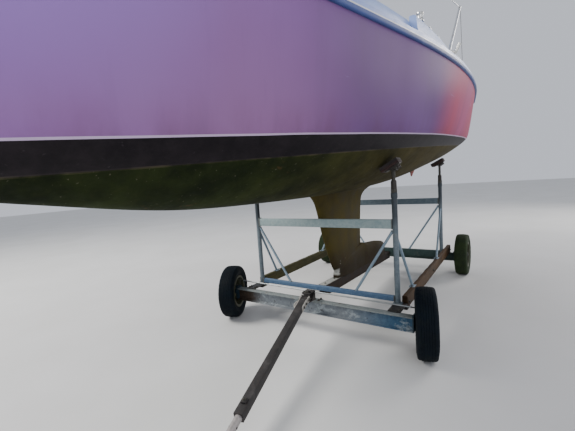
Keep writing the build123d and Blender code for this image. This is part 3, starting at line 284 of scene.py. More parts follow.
def mat_steel(name, paint, paint2, rust_amt=0.5, zinc=srgb(150, 160, 166), scale=1.0, metal=0.35, rough=0.55, spec=0.5, up=None):
    """Old paint or zinc over steel, flaking to rust in patches and along runs."""
    m = Mat(name)
    n1 = m.noise(6.0 * scale, 8.0, 0.68, dist=0.3)
    n2 = m.noise(26.0 * scale, 6.0, 0.7)
    n3 = m.noise(90.0 * scale, 4.0, 0.6)
    c = m.mix(m.span(n2, 0.35, 0.65), paint, paint2)
    c = m.mix(m.math("MULTIPLY", m.span(n3, 0.45, 0.75), 0.4), c, zinc)
    rust = m.ramp(m.noise(18.0 * scale, 8.0, 0.7), [(0.25, srgb(34, 26, 24)), (0.48, srgb(62, 44, 36)), (0.62, srgb(92, 68, 52)), (0.8, srgb(48, 36, 30))])
    edge = m.math("ADD", m.math("MULTIPLY", n1, 0.6), m.math("MULTIPLY", n2, 0.4))
    f = m.span(edge, 0.655 - 0.15 * rust_amt, 0.680 - 0.14 * rust_amt)
    halo = m.math("MULTIPLY", m.span(edge, 0.58 - 0.15 * rust_amt, 0.67 - 0.14 * rust_amt), 0.45)
    c = m.mix(halo, c, srgb(104, 92, 80))
    c = m.mix(f, c, rust)
    if up:
        c = m.mix(m.math("MULTIPLY", m.span(m.xyz()[2], up[1], up[2]), 0.85), c, up[0])
    m.bump(f, 0.5, 0.0010)
    m.bump(m.math("MULTIPLY", n3, m.mixf(f, 0.25, 1.0)), 0.5, 0.0012)
    return m.done(c, m.mixf(f, m.span(n2, 0.3, 0.7, rough - 0.1, rough + 0.12), 0.88), m.mixf(f, metal, 0.05), **{"Specular IOR Level": spec})


def mat_axle():
    """Chalky grey paint on the front axle, brown at one end, blue at the other, pitted."""
    m = Mat("axle_paint")
    x, y, z = m.xyz()
    n1 = m.noise(7.0, 8.0, 0.7, dist=0.3)
    n2 = m.noise(30.0, 6.0, 0.7)
    n3 = m.noise(110.0, 4.0, 0.6)
    c = m.mix(m.span(n2, 0.38, 0.66), srgb(98, 104, 110), srgb(118, 124, 128))
    c = m.mix(m.span(x, 0.35, 0.80), c, m.mix(m.span(n2, 0.38, 0.66), srgb(40, 72, 98), srgb(60, 94, 118)))
    c = m.mix(m.math("MULTIPLY", m.span(m.math("ADD", n1, m.math("MULTIPLY", n3, 0.12)), 0.58, 0.66), 0.8), c, srgb(150, 158, 160))
    c = m.mix(m.math("MULTIPLY", m.span(m.noise(19.0, 7.0, 0.72), 0.60, 0.66), 0.85), c, srgb(48, 44, 42))
    c = m.mix(m.math("MULTIPLY", m.span(n3, 0.66, 0.74), 0.6), c, srgb(36, 34, 34))
    c = m.mix(m.span(m.math("ADD", x, m.math("MULTIPLY", n1, 0.3)), -0.42, -0.66), c, m.mix(m.span(n2, 0.4, 0.6), srgb(40, 32, 26), srgb(62, 50, 40)))
    m.bump(n3, 0.5, 0.0010)
    m.bump(n1, 0.4, 0.0020)
    return m.done(c, m.span(n2, 0.3, 0.7, 0.6, 0.85), 0.0, **{"Specular IOR Level": 0.3})


def mat_rust(name, dark=srgb(46, 30, 28), mid=srgb(84, 58, 50), light=srgb(120, 92, 80), paint=None, fleck=srgb(110, 62, 38)):
    m = Mat(name)
    n = m.noise(9.0, 8.0, 0.7, dist=0.4)
    c = m.ramp(n, [(0.28, dark), (0.5, mid), (0.66, light), (0.82, mid)])
    n2 = m.noise(48.0, 6.0, 0.7)
    c = m.mix(m.math("MULTIPLY", m.span(n2, 0.52, 0.74), 0.45), c, fleck)
    c = m.mix(m.math("MULTIPLY", m.span(m.noise(120.0, 3.0), 0.62, 0.77), 0.25), c, srgb(118, 108, 102))
    if paint:
        c = m.mix(m.span(m.noise(5.0, 7.0, 0.7), 0.46, 0.50), c, paint)
    m.bump(n2, 0.6, 0.0012)
    m.bump(m.noise(160.0, 3.0), 0.4, 0.0005)
    return m.done(c, m.span(n, 0.3, 0.7, 0.62, 0.88), 0.25)


def mat_wood(name, a, b, dark, axis="Y", stain=0.5, stain_col=srgb(40, 36, 22), scale=1.0):
    m = Mat(name)
    st = {"X": (0.06, 1.0, 1.0), "Y": (1.0, 0.06, 1.0), "Z": (1.0, 1.0, 0.06)}[axis]
    v = m.stretch(*st)
    g = m.noise(70.0 * scale, 8.0, 0.6, v, 0.6)
    g2 = m.noise(14.0 * scale, 5.0, 0.6, v, 0.3)
    c = m.mix(m.span(g, 0.3, 0.7), a, b)
    c = m.mix(m.math("MULTIPLY", m.span(g2, 0.5, 0.62), 0.5), c, dark)
    crack = m.span(m.noise(36.0 * scale, 4.0, 0.5, m.stretch(*[q * (0.5 if q < 1 else 1.0) for q in st])), 0.66, 0.70)
    c = m.mix(m.math("MULTIPLY", crack, 0.7), c, dark)
    c = m.mix(m.math("MULTIPLY", m.span(m.noise(4.0, 5.0, 0.6), 0.42, 0.68), stain), c, stain_col)
    m.bump(g, 0.5, 0.0012)
    m.bump(m.math("MULTIPLY", crack, -1.0), 0.6, 0.002)
    return m.done(c, m.span(g2, 0.3, 0.7, 0.6, 0.85), 0.0, **{"Specular IOR Level": 0.25})


def mat_rubber(name, a=srgb(30, 34, 38), b=srgb(56, 58, 58), dust=srgb(92, 88, 76), amt=0.4, spec=0.35, mossy=False):
    m = Mat(name)
    n = m.noise(8.0, 7.0, 0.66)
    c = m.mix(m.span(n, 0.35, 0.7), a, b)
    c = m.mix(m.math("MULTIPLY", m.span(m.noise(22.0, 6.0, 0.7), 0.5, 0.72), amt), c, dust)
    if mossy:
        # greener and dustier on the rear wheels
        c = m.mix(m.math("MULTIPLY", m.span(m.xyz()[1], 1.2, 1.6), m.span(n, 0.35, 0.6, 0.55, 0.95)), c, srgb(48, 60, 36))
    m.bump(m.noise(130.0, 4.0, 0.7), 0.35, 0.0006)
    return m.done(c, m.span(n, 0.3, 0.7, 0.66, 0.9), 0.0, **{"Specular IOR Level": spec})


def mat_stainless(name, tone=srgb(196, 198, 202), rough=0.22):
    m = Mat(name)
    n = m.noise(14.0, 5.0, 0.6)
    c = m.mix(m.math("MULTIPLY", m.span(n, 0.52, 0.78), 0.5), tone, srgb(140, 126, 108))
    m.bump(m.noise(220.0, 2.0, 0.5, m.stretch(1, 1, 8)), 0.08, 0.0003)
    return m.done(c, m.span(n, 0.3, 0.7, rough, rough + 0.2), 0.95)


def mat_strake():
    m = Mat("strake_vinyl")
    n = m.noise(3.0, 5.0, 0.6, m.stretch(1, 0.4, 1))
    c = m.mix(m.span(n, 0.35, 0.7), srgb(44, 62, 116), srgb(64, 86, 148))
    c = m.mix(m.math("MULTIPLY", m.span(m.noise(30.0, 4.0, 0.6, m.stretch(1, 0.2, 1)), 0.56, 0.72), 0.4), c, srgb(108, 126, 178))
    m.bump(m.noise(60.0, 3.0, 0.5, m.stretch(1, 0.3, 1)), 0.2, 0.0008)
    return m.done(c, m.span(n, 0.3, 0.7, 0.45, 0.62))


def mat_keel():
    m = Mat("keel_iron")
    x, y, z = m.xyz()
    n1 = m.noise(4.5, 7.0, 0.65)
    n2 = m.noise(24.0, 6.0, 0.7)
    c = m.mix(m.span(n1, 0.35, 0.68), srgb(56, 48, 14), srgb(76, 66, 22))
    c = m.mix(m.math("MULTIPLY", m.span(m.noise(9.0, 5.0, 0.7, m.stretch(1, 1, 0.3)), 0.52, 0.7), 0.5), c, srgb(44, 40, 14))
    rust = m.ramp(m.noise(16.0, 8.0, 0.7), [(0.3, srgb(36, 22, 16)), (0.5, srgb(64, 40, 24)), (0.7, srgb(88, 58, 36))])
    low = m.span(z, 0.95, 0.40)
    f = m.math("MULTIPLY", m.span(m.math("ADD", n2, m.math("MULTIPLY", low, 0.14)), 0.60, 0.74), 0.7)
    c = m.mix(f, c, rust)
    c = m.mix(m.math("MULTIPLY", m.span(z, 0.80, 0.48), 0.75), c, srgb(26, 18, 13))
    chip = m.math("MULTIPLY", m.span(m.math("ADD", z, m.math("MULTIPLY", n1, 0.10)), 0.56, 0.54), m.math("MULTIPLY", m.span(z, 0.43, 0.45), m.span(m.math("ADD", m.math("SUBTRACT", y, S), m.math("MULTIPLY", n2, 0.06)), 0.405, 0.385)))
    c = m.mix(m.math("MULTIPLY", chip, 0.85), c, srgb(176, 176, 168))
    spots = m.math("MULTIPLY", m.span(m.noise(34.0, 3.0, 0.5), 0.70, 0.73), m.span(z, 0.75, 0.45))
    c = m.mix(m.math("MULTIPLY", spots, m.span(y, 0.55, 0.30)), c, srgb(170, 166, 150))
    m.bump(n2, 0.35, 0.002)
    m.bump(m.noise(110.0, 3.0), 0.25, 0.0006)
    return m.done(c, m.span(n1, 0.3, 0.7, 0.66, 0.9), 0.0, **{"Specular IOR Level": 0.25})


def mat_window():
    m = Mat("window_acrylic")
    n = m.noise(3.0, 5.0, 0.6)
    c = m.mix(m.math("MULTIPLY", m.span(m.noise(40.0, 4.0, 0.7), 0.55, 0.75), 0.3), srgb(34, 42, 46), srgb(84, 90, 90))
    return m.done(c, m.span(n, 0.3, 0.7, 0.06, 0.22), 0.0, **{"Alpha": 0.86, "Specular IOR Level": 0.6})


def mat_webbing(name, a, b):
    m = Mat(name)
    w = m.wave(260.0, direction="X")
    w2 = m.wave(420.0, direction="Y")
    c = m.mix(w, a, b)
    c = m.mix(m.math("MULTIPLY", m.span(m.noise(14.0, 4.0), 0.5, 0.7), 0.4), c, srgb(120, 118, 110))
    m.bump(m.math("ADD", w, w2), 0.5, 0.0006)
    return m.done(c, 0.85)


def mat_alloy(name, a=srgb(172, 176, 180), b=srgb(200, 203, 206), axis=(1, 0.05, 1), rough=0.36):
    m = Mat(name)
    n = m.noise(40.0, 4.0, 0.6, m.stretch(*axis))
    c = m.mix(n, a, b)
    c = m.mix(m.math("MULTIPLY", m.span(m.noise(11.0, 6.0, 0.7), 0.56, 0.72), 0.5), c, srgb(132, 130, 122))
    m.bump(n, 0.12, 0.0003)
    return m.done(c, m.span(n, 0.2, 0.8, rough - 0.06, rough + 0.14), 0.9)


MT = {
    "hull": mat_hull(),
    "deck": mat_gelcoat("deck_gelcoat", srgb(206, 204, 206), srgb(222, 221, 222)),
    "nonskid": mat_nonskid("deck_nonskid", srgb(176, 182, 190), srgb(192, 196, 202)),
    "roof": mat_gelcoat("roof_gelcoat", srgb(140, 164, 216), srgb(160, 182, 228)),
    "hatch": mat_gelcoat("hatch_gelcoat", srgb(210, 210, 208), srgb(226, 226, 224)),
    "inner": mat_gelcoat("inner_gelcoat", srgb(200, 196, 186), srgb(216, 212, 204), 0.5),
    "window": mat_window(),
    "frame_black": mat_rubber("window_seal", srgb(24, 24, 26), srgb(44, 44, 46), amt=0.2),
    "strake": mat_strake(),
    "toe_rail": mat_gelcoat("toe_rail_gelcoat", srgb(126, 148, 206), srgb(148, 168, 220)),
    "strake_line": mat_gelcoat("strake_line", srgb(128, 148, 206), srgb(150, 168, 218), 0.4),
    "keel": mat_keel(),
    "teak": mat_wood("teak", srgb(120, 82, 50), srgb(92, 60, 36), srgb(50, 32, 20), "Y", 0.3, srgb(96, 90, 80)),
    "teak_x": mat_wood("teak_boards", srgb(124, 84, 50), srgb(94, 60, 36), srgb(52, 34, 20), "X", 0.3, srgb(96, 90, 80)),
    "axle": mat_axle(),
    "rear_axle": mat_steel("rear_axle_paint", srgb(34, 52, 50), srgb(48, 64, 60), 0.10, srgb(70, 84, 78), metal=0.0, spec=0.25),
    "rail": mat_steel("rail_zinc", srgb(122, 142, 144), srgb(146, 162, 162), 0.0, srgb(166, 178, 178), metal=0.3),
    "lower_rail": mat_steel("lower_rail_zinc", srgb(62, 88, 118), srgb(84, 108, 134), 0.08, srgb(118, 136, 152), metal=0.0, spec=0.25),
    "lower_rear": mat_steel("lower_rear_paint", srgb(36, 54, 52), srgb(50, 68, 66), 0.08, srgb(74, 88, 84), metal=0.0, spec=0.25),
    "rail_rear": mat_steel("rail_rear_zinc", srgb(72, 88, 98), srgb(92, 106, 114), 0.0, srgb(118, 130, 134), metal=0.1, spec=0.3),
    "plate": mat_steel("base_plate_paint", srgb(26, 26, 26), srgb(44, 42, 40), 0.1, srgb(62, 60, 56), metal=0.1),
    "axle_top": mat_steel("axle_top_paint", srgb(96, 104, 106), srgb(128, 134, 132), 0.34, srgb(168, 172, 168), metal=0.05, spec=0.3),
    "axle_end": mat_steel("axle_end_paint", srgb(26, 48, 62), srgb(40, 62, 74), 0.05, srgb(66, 82, 88)),
    "weld": mat_steel("weld_bead", srgb(84, 90, 90), srgb(108, 110, 106), 0.2, srgb(128, 130, 124), scale=2.5),
    "tie_bright": mat_alloy("tie_rod_zinc", srgb(150, 156, 158), srgb(182, 186, 186), (0.2, 1, 1), 0.4),
    "bright": mat_alloy("bright_bracket", srgb(206, 206, 200), srgb(228, 226, 218), (1, 1, 1), 0.3),
    "chrome": mat_stainless("chrome_bronze", srgb(206, 206, 204), 0.12),
    "tiller": mat_wood("tiller_ash", srgb(156, 112, 66), srgb(128, 86, 48), srgb(70, 44, 26), "Y", 0.35, srgb(120, 106, 84)),
    "crutch_x": mat_wood("crutch_beam_wood", srgb(150, 124, 88), srgb(124, 98, 66), srgb(70, 52, 34), "X", 0.3, srgb(96, 90, 76)),
    "strip": mat_steel("beam_strip_zinc", srgb(148, 150, 144), srgb(174, 174, 166), 0.1, srgb(196, 196, 186)),
    "drawbar_steel": mat_rust("drawbar_head", srgb(20, 19, 20), srgb(42, 40, 40), srgb(72, 68, 66), fleck=srgb(74, 56, 46)),
    "drawbar_pale": mat_steel("drawbar_zinc", srgb(150, 146, 140), srgb(184, 180, 172), 0.2, srgb(206, 204, 198)),
    "wheel_dark": mat_steel("wheel_hub", srgb(28, 30, 30), srgb(46, 46, 42), 0.1, srgb(68, 68, 62), scale=2.0),
    "post": mat_steel("post_zinc", srgb(84, 98, 106), srgb(110, 120, 126), 0.05, srgb(134, 142, 144), metal=0.1, spec=0.3, up=(srgb(46, 52, 58), 0.98, 1.14)),
    "post_dark": mat_steel("jack_head_paint", srgb(40, 38, 36), srgb(58, 54, 50), 0.1, srgb(86, 82, 78), metal=0.1, spec=0.3, scale=2.0),
    "screw": mat_steel("screw_steel", srgb(52, 52, 48), srgb(74, 72, 66), 0.15, srgb(100, 98, 90), metal=0.4, scale=2.0),
    "brace": mat_steel("brace_zinc", srgb(110, 132, 148), srgb(134, 150, 162), 0.05, srgb(164, 176, 184), metal=0.2, scale=1.6),
    "rust": mat_rust("drawbar_rust", srgb(24, 22, 22), srgb(46, 44, 44), srgb(70, 67, 66), fleck=srgb(66, 50, 40)),
    "rust_red": mat_rust("beam_rust", srgb(16, 10, 6), srgb(30, 19, 11), srgb(52, 34, 22), fleck=srgb(62, 38, 24)),
    "tube": mat_steel("tube_zinc", srgb(134, 130, 128), srgb(160, 154, 152), 0.1, srgb(182, 176, 172), metal=0.3, scale=1.8),
    "plank_port": mat_wood("plank_port_wood", srgb(84, 60, 34), srgb(62, 44, 25), srgb(30, 21, 12), "Y", 0.45, srgb(38, 29, 19)),
    "plank_star": mat_wood("plank_starboard_wood", srgb(84, 78, 46), srgb(62, 60, 34), srgb(34, 34, 20), "Y", 0.6, srgb(44, 52, 26)),
    "crutch": mat_wood("crutch_wood", srgb(150, 124, 88), srgb(124, 98, 66), srgb(70, 52, 34), "Z", 0.3, srgb(96, 90, 76)),
    "pad": mat_rubber("pad_rubber", srgb(26, 22, 24), srgb(48, 42, 42), srgb(74, 64, 58)),
    "pad_board": mat_wood("pad_board", srgb(62, 44, 40), srgb(44, 32, 32), srgb(24, 18, 18), "Y", 0.5, srgb(34, 28, 30)),
    "tyre": mat_rubber("tyre_rubber", srgb(3, 10, 18), srgb(12, 22, 30), srgb(34, 42, 34), 0.3, spec=0.15, mossy=True),
    "wheel": mat_steel("wheel_steel", srgb(48, 52, 38), srgb(68, 70, 52), 0.3, srgb(92, 92, 74), scale=2.0, metal=0.1, spec=0.3),
    "stainless": mat_stainless("stainless"),
    "alloy": mat_alloy("mast_alloy"),
    "cleat": mat_alloy("cleat_alloy", axis=(1, 1, 1)),
    "black": mat_rubber("black_plastic", srgb(22, 22, 24), srgb(40, 40, 42), amt=0.25),
    "webbing": mat_webbing("blue_webbing", srgb(30, 44, 96), srgb(46, 62, 120)),
    "rope": mat_webbing("rope", srgb(196, 190, 172), srgb(170, 164, 148)),
    "rope_dark": mat_webbing("lashing", srgb(70, 66, 62), srgb(50, 48, 46)),
    "rudder": mat_rust("rudder_paint", srgb(74, 30, 24), srgb(112, 48, 38), srgb(132, 66, 54)),
    "ply": mat_wood("bracket_ply", srgb(140, 108, 70), srgb(112, 84, 54), srgb(60, 44, 30), "X", 0.4),
}

# ====================================================================== mesh helpers


def new_obj(name, mesh):
    o = bpy.data.objects.new(name, mesh)
    scene.collection.objects.link(o)
    return o


def finish_mesh(o, mats, angle=None, smooth=True):
    for m in mats:
        o.data.materials.append(m)
    me = o.data
    if smooth:
        me.polygons.foreach_set("use_smooth", [True] * len(me.polygons))
        if angle is not None:
            me.set_sharp_from_angle(angle=radians(angle))
    me.update()
    return o


def grid_faces(nu, nv, close_v=False, base=0, flip=False):
    """Quads of a grid of nu rows with nv points each."""
    out = []
    for i in range(nu - 1):
        for j in range(nv if close_v else nv - 1):
            k = (j + 1) % nv
            a, b, c, d = base + i * nv + j, base + i * nv + k, base + (i + 1) * nv + k, base + (i + 1) * nv + j
            out.append((a, d, c, b) if flip else (a, b, c, d))
    return out


class Bits:
    """Collects shapes, each with its own material, into one mesh. Millimetres."""

    def __init__(self):
        self.v, self.f, self.mi, self.mats = [], [], [], []

    def mat(self, key):
        if key not in self.mats:
            self.mats.append(key)
        return self.mats.index(key)

    def raw(self, verts, faces, key):
        k = len(self.v)
        self.v.extend(tuple(p) for p in verts)
        i = self.mat(key)
        for f in faces:
            self.f.append(tuple(q + k for q in f))
            self.mi.append(i)

    def bm(self, bm, key, matrix=None):
        if matrix is not None:
            bm.transform(matrix)
        bm.verts.ensure_lookup_table()
        bm.verts.index_update()
        self.raw([v.co[:] for v in bm.verts], [[v.index for v in f.verts] for f in bm.faces], key)
        bm.free()

    def box(self, x0, x1, y0, y1, z0, z1, key, bevel=2.0, seg=2, matrix=None):
        bm = bmesh.new()
        bmesh.ops.create_cube(bm, size=1.0)
        for v in bm.verts:
            v.co = Vector((x0 + (x1 - x0) * (v.co.x + 0.5), y0 + (y1 - y0) * (v.co.y + 0.5), z0 + (z1 - z0) * (v.co.z + 0.5)))
        if bevel:
            b = min(bevel, 0.45 * min(abs(x1 - x0), abs(y1 - y0), abs(z1 - z0)))
            bmesh.ops.bevel(bm, geom=bm.edges[:], offset=b, segments=seg, profile=0.5, affect="EDGES")
        self.bm(bm, key, matrix)

    def beam(self, p0, p1, w, h, key, bevel=2.0, up=(0, 0, 1), seg=2):
        """Rectangular bar from p0 to p1, w across and h in the up direction."""
        a, b = Vector(p0), Vector(p1)
        d = (b - a).normalized()
        x = d.cross(Vector(up)).normalized()
        y = x.cross(d)
        mt = Matrix.Translation(a) @ Matrix((x, d, y)).transposed().to_4x4()
        self.box(-w / 2, w / 2, 0, (b - a).length, -h / 2, h / 2, key, bevel, seg, mt)

    def rings(self, rings, key, close_v=True, cap=True, flip=False):
        n = len(rings[0])
        verts = [p for r in rings for p in r]
        faces = grid_faces(len(rings), n, close_v, 0, flip)
        if cap and close_v:
            a = list(range(n))
            b = list(range((len(rings) - 1) * n, len(rings) * n))
            faces.append(tuple(a[::-1]) if not flip else tuple(a))
            faces.append(tuple(b) if not flip else tuple(b[::-1]))
        self.raw(verts, faces, key)

    def tube(self, pts, r, key, seg=14, cap=True, closed=False, rr=None):
        """A round bar through the points, with parallel-transported rings."""
        ps = [Vector(p) for p in pts]
        n = len(ps)
        tang = []
        for i in range(n):
            if closed:
                t = ps[(i + 1) % n] - ps[i - 1]
            else:
                t = ps[min(i + 1, n - 1)] - ps[max(i - 1, 0)]
            tang.append(t.normalized())
        ref = Vector((0, 0, 1)) if abs(tang[0].z) < 0.9 else Vector((1, 0, 0))
        u = tang[0].cross(ref).normalized()
        rings = []
        for i in range(n):
            u = (u - tang[i] * u.dot(tang[i])).normalized()
            w = tang[i].cross(u)
            rad = rr[i] if rr else r
            rings.append([tuple(ps[i] + (u * cos(2 * pi * k / seg) + w * sin(2 * pi * k / seg)) * rad) for k in range(seg)])
        if closed:
            verts = [p for q in rings for p in q]
            faces = []
            for i in range(n):
                for j in range(seg):
                    k = (j + 1) % seg
                    i2 = (i + 1) % n
                    faces.append((i * seg + j, i * seg + k, i2 * seg + k, i2 * seg + j))
            self.raw(verts, faces, key)
        else:
            self.rings(rings, key, True, cap)

    def cyl(self, p0, p1, r, key, seg=24, bevel=1.0, r1=None):
        a, b = Vector(p0), Vector(p1)
        n = (b - a).length
        r1 = r if r1 is None else r1
        bv = min(bevel, 0.3 * n, 0.5 * r)
        d = (b - a) / n
        if bv > 0:
            pts = [a, a + d * bv, b - d * bv, b]
            rr = [r - bv, r, r1, r1 - bv]
        else:
            pts, rr = [a, b], [r, r1]
        self.tube(pts, r, key, seg, True, False, rr)

    def revolve(self, prof, center, axis, key, seg=48, closed=False, start=0.0):
        """prof: (radius, along) pairs turned about axis through center."""
        ax = Vector(axis).normalized()
        ref = Vector((0, 0, 1)) if abs(ax.z) < 0.9 else Vector((1, 0, 0))
        u = ax.cross(ref).normalized()
        w = ax.cross(u)
        c = Vector(center)
        rings = []
        for k in range(seg):
            t = start + 2 * pi * k / seg
            e = u * cos(t) + w * sin(t)
            rings.append([tuple(c + e * r + ax * s) for r, s in prof])
        n = len(prof)
        verts = [p for q in rings for p in q]
        faces = []
        for i in range(seg):
            i2 = (i + 1) % seg
            for j in range(n if closed else n - 1):
                k = (j + 1) % n
                faces.append((i * n + j, i * n + k, i2 * n + k, i2 * n + j))
        self.raw(verts, faces, key)

    def bolt(self, pos, axis, key, af=17.0, h=9.0, washer=True, stud=0.0):
        """A hex head or nut on its washer, standing on pos along axis."""
        ax = Vector(axis).normalized()
        p = Vector(pos)
        if washer:
            self.cyl(p, p + ax * 2.4, af * 0.72, key, 20, 0.6)
        r = af / sqrt(3)
        self.tube([p + ax * 2.0, p + ax * (h + 0.6), p + ax * (h + 2.0)], r, key, 6, True, False, [r, r, r * 0.82])
        if stud:
            self.cyl(p, p + ax * (h + stud), af * 0.29, key, 12, 0.8)

    def make(self, name, angle=38, body=ROOT, replaces=(), slot=None, scale=True, weld=False):
        me = bpy.data.meshes.new(name)
        me.from_pydata([P(*p) if scale else Vector(p) for p in self.v], [], self.f)
        o = new_obj(name, me)
        for k in self.mats:
            me.materials.append(MT[k])
        me.polygons.foreach_set("material_index", self.mi)
        me.polygons.foreach_set("use_smooth", [True] * len(me.polygons))
        me.update()
        bm = bmesh.new()
        bm.from_mesh(me)
        if weld:
            bmesh.ops.remove_doubles(bm, verts=bm.verts, dist=1e-5)
        bmesh.ops.recalc_face_normals(bm, faces=bm.faces)
        bm.to_mesh(me)
        bm.free()
        me.set_sharp_from_angle(angle=radians(angle))
        me.update()
        place(o, body, replaces)
        return o


def place(o, body=ROOT, replaces=()):
    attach(o, body)
    if replaces:
        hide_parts(*([replaces] if isinstance(replaces, str) else replaces))
    return o


def apply_mods(o):
    dg = bpy.context.evaluated_depsgraph_get()
    me = bpy.data.meshes.new_from_object(o.evaluated_get(dg), depsgraph=dg)
    o.modifiers.clear()
    old = o.data
    o.data = me
    bpy.data.meshes.remove(old)


def cut(o, cutters, op="DIFFERENCE"):
    """Boolean with temporary meshes, applied at once."""
    for c in cutters:
        md = o.modifiers.new("cut", "BOOLEAN")
        md.operation = op
        md.solver = "EXACT"
        md.object = c
    apply_mods(o)
    for c in cutters:
        me = c.data
        bpy.data.objects.remove(c)
        bpy.data.meshes.remove(me)


def cutter_box(x0, x1, y0, y1, z0, z1, bevel=0.0, axis=None, seg=4):
    """A temporary box; with axis, only the edges along that axis are rounded."""
    bm = bmesh.new()
    bmesh.ops.create_cube(bm, size=1.0)
    for v in bm.verts:
        v.co = P(x0 + (x1 - x0) * (v.co.x + 0.5), y0 + (y1 - y0) * (v.co.y + 0.5), z0 + (z1 - z0) * (v.co.z + 0.5))
    if bevel:
        es = bm.edges[:]
        if axis is not None:
            es = [e for e in es if abs((e.verts[0].co - e.verts[1].co).normalized()[axis]) > 0.9]
        bmesh.ops.bevel(bm, geom=es, offset=bevel / 1000.0, segments=seg, profile=0.5, affect="EDGES")
    me = bpy.data.meshes.new("cutter")
    bm.to_mesh(me)
    bm.free()
    return new_obj("cutter", me)


# smooth curves through tables -----------------------------------------------------
def spline(ts, ys, q):
    """Natural cubic spline of columns ys over ts, read at q. numpy arrays."""
    ts = np.asarray(ts, float)
    ys = np.asarray(ys, float)
    flat = ys.ndim == 1
    if flat:
        ys = ys[:, None]
    n = len(ts)
    h = np.diff(ts)
    A = np.zeros((n, n))
    r = np.zeros_like(ys)
    A[0, 0] = A[-1, -1] = 1.0
    for i in range(1, n - 1):
        A[i, i - 1], A[i, i], A[i, i + 1] = h[i - 1], 2 * (h[i - 1] + h[i]), h[i]
        r[i] = 6 * ((ys[i + 1] - ys[i]) / h[i] - (ys[i] - ys[i - 1]) / h[i - 1])
    m = np.linalg.solve(A, r)
    q = np.asarray(q, float)
    k = np.clip(np.searchsorted(ts, q) - 1, 0, n - 2)
    hh = h[k][:, None]
    a = (ts[k + 1] - q)[:, None]
    b = (q - ts[k])[:, None]
    out = m[k] * a ** 3 / (6 * hh) + m[k + 1] * b ** 3 / (6 * hh) + (ys[k] / hh - m[k] * hh / 6) * a + (ys[k + 1] / hh - m[k + 1] * hh / 6) * b
    return out[:, 0] if flat else out


def lerp(ts, ys, q):
    return np.interp(q, ts, ys)


def resample(pts, n):
    """n points evenly along a polyline (numpy, any dimension)."""
    pts = np.asarray(pts, float)
    d = np.concatenate([[0], np.cumsum(np.linalg.norm(np.diff(pts, axis=0), axis=1))])
    s = np.linspace(0, d[-1], n)
    return np.stack([np.interp(s, d, pts[:, k]) for k in range(pts.shape[1])], 1)


def relax(pts, times, keep_ends=True):
    pts = pts.copy()
    for _ in range(times):
        pts[1:-1] = 0.25 * pts[:-2] + 0.5 * pts[1:-1] + 0.25 * pts[2:]
    return pts


# ====================================================================== hull lines
STATIONS = [
    # y,     zk,     xw,    xs,     zs,    p
    (-3650, 2480.0,   9.0,   14.0, 2590.0, 1.10),
    (-3450, 2130.0,  34.0,   84.0, 2582.0, 1.10),
    (-3200, 1790.0,  92.0,  168.0, 2574.0, 1.15),
    (-2850, 1572.0, 172.0,  274.0, 2565.0, 1.25),
    (-2350, 1462.0, 318.0,  420.0, 2556.0, 1.45),
    (-1750, 1379.0, 498.0,  592.0, 2549.0, 1.70),
    (-1150, 1351.0, 678.0,  752.0, 2546.0, 1.90),
    ( -550, 1343.0, 826.0,  902.0, 2547.0, 2.10),
    (   50, 1345.0, 936.0, 1038.0, 2553.0, 2.30),
    (  650, 1362.0, 1008.0, 1138.0, 2566.0, 2.40),
    ( 1250, 1398.0, 1042.0, 1194.0, 2584.0, 2.40),
    ( 1850, 1449.0, 1056.0, 1211.0, 2600.0, 2.25),
    ( 2450, 1508.0, 1046.0, 1192.0, 2609.0, 2.10),
    ( 3000, 1554.0, 1018.0, 1138.0, 2615.0, 1.95),
    ( 3430, 1588.0,  984.0, 1072.0, 2620.0, 1.80),
]
RAKE = 0.115
NSEC = 56


def hull_section(row):
    y, zk, xw, xs, zs, p = row
    zw = max(1828.0 + 0.0525 * y, zk + 0.12 * (zs - zk))
    u = np.linspace(0, 1, 60)
    bottom = np.stack([xw * u, zk + (zw - zk) * u ** p], 1)
    t = np.linspace(0, 1, 40)[1:]
    # topsides: a light curve through the middle point
    xm = xw + (xs - xw) * 0.58
    b = 2 * xm - 0.5 * (xw + xs)
    top = np.stack([(1 - t) ** 2 * xw + 2 * t * (1 - t) * b + t ** 2 * xs, zw + (zs - zw) * t], 1)
    pts = resample(np.concatenate([bottom, top]), NSEC)
    full = np.concatenate([pts[::-1] * [-1, 1], pts[1:]])
    full = relax(full, 7)
    return full[NSEC - 1:]


HY = np.array([r[0] for r in STATIONS], float)
SECS = np.array([hull_section(r) for r in STATIONS])          # station, point, (x, z)
rows_y = np.concatenate([np.linspace(-3650, -3200, 16)[:-1], np.linspace(-3200, 3430, 110)])
hx = spline(HY, SECS[:, :, 0], rows_y)
hz = spline(HY, SECS[:, :, 1], rows_y)
hx = np.maximum(hx, 0.0)
hx[:, 0] = 0.0


def hull_rows():
    """Rows of (x, y, z) from the keel line to the sheer on the port side."""
    out = []
    for i, y in enumerate(rows_y):
        t = max(0.0, (y - 3000.0) / 430.0)
        zk = 1588.0
        yy = y + t * (hz[i] - zk) * RAKE
        out.append(np.stack([hx[i], yy, hz[i]], 1))
    return out


HROWS = hull_rows()
sheer_y = np.array([r[-1][1] for r in HROWS])
sheer_x = np.array([r[-1][0] for r in HROWS])
sheer_z = np.array([r[-1][2] for r in HROWS])


def sheer(y):
    return float(np.interp(y, sheer_y, sheer_x)), float(np.interp(y, sheer_y, sheer_z))


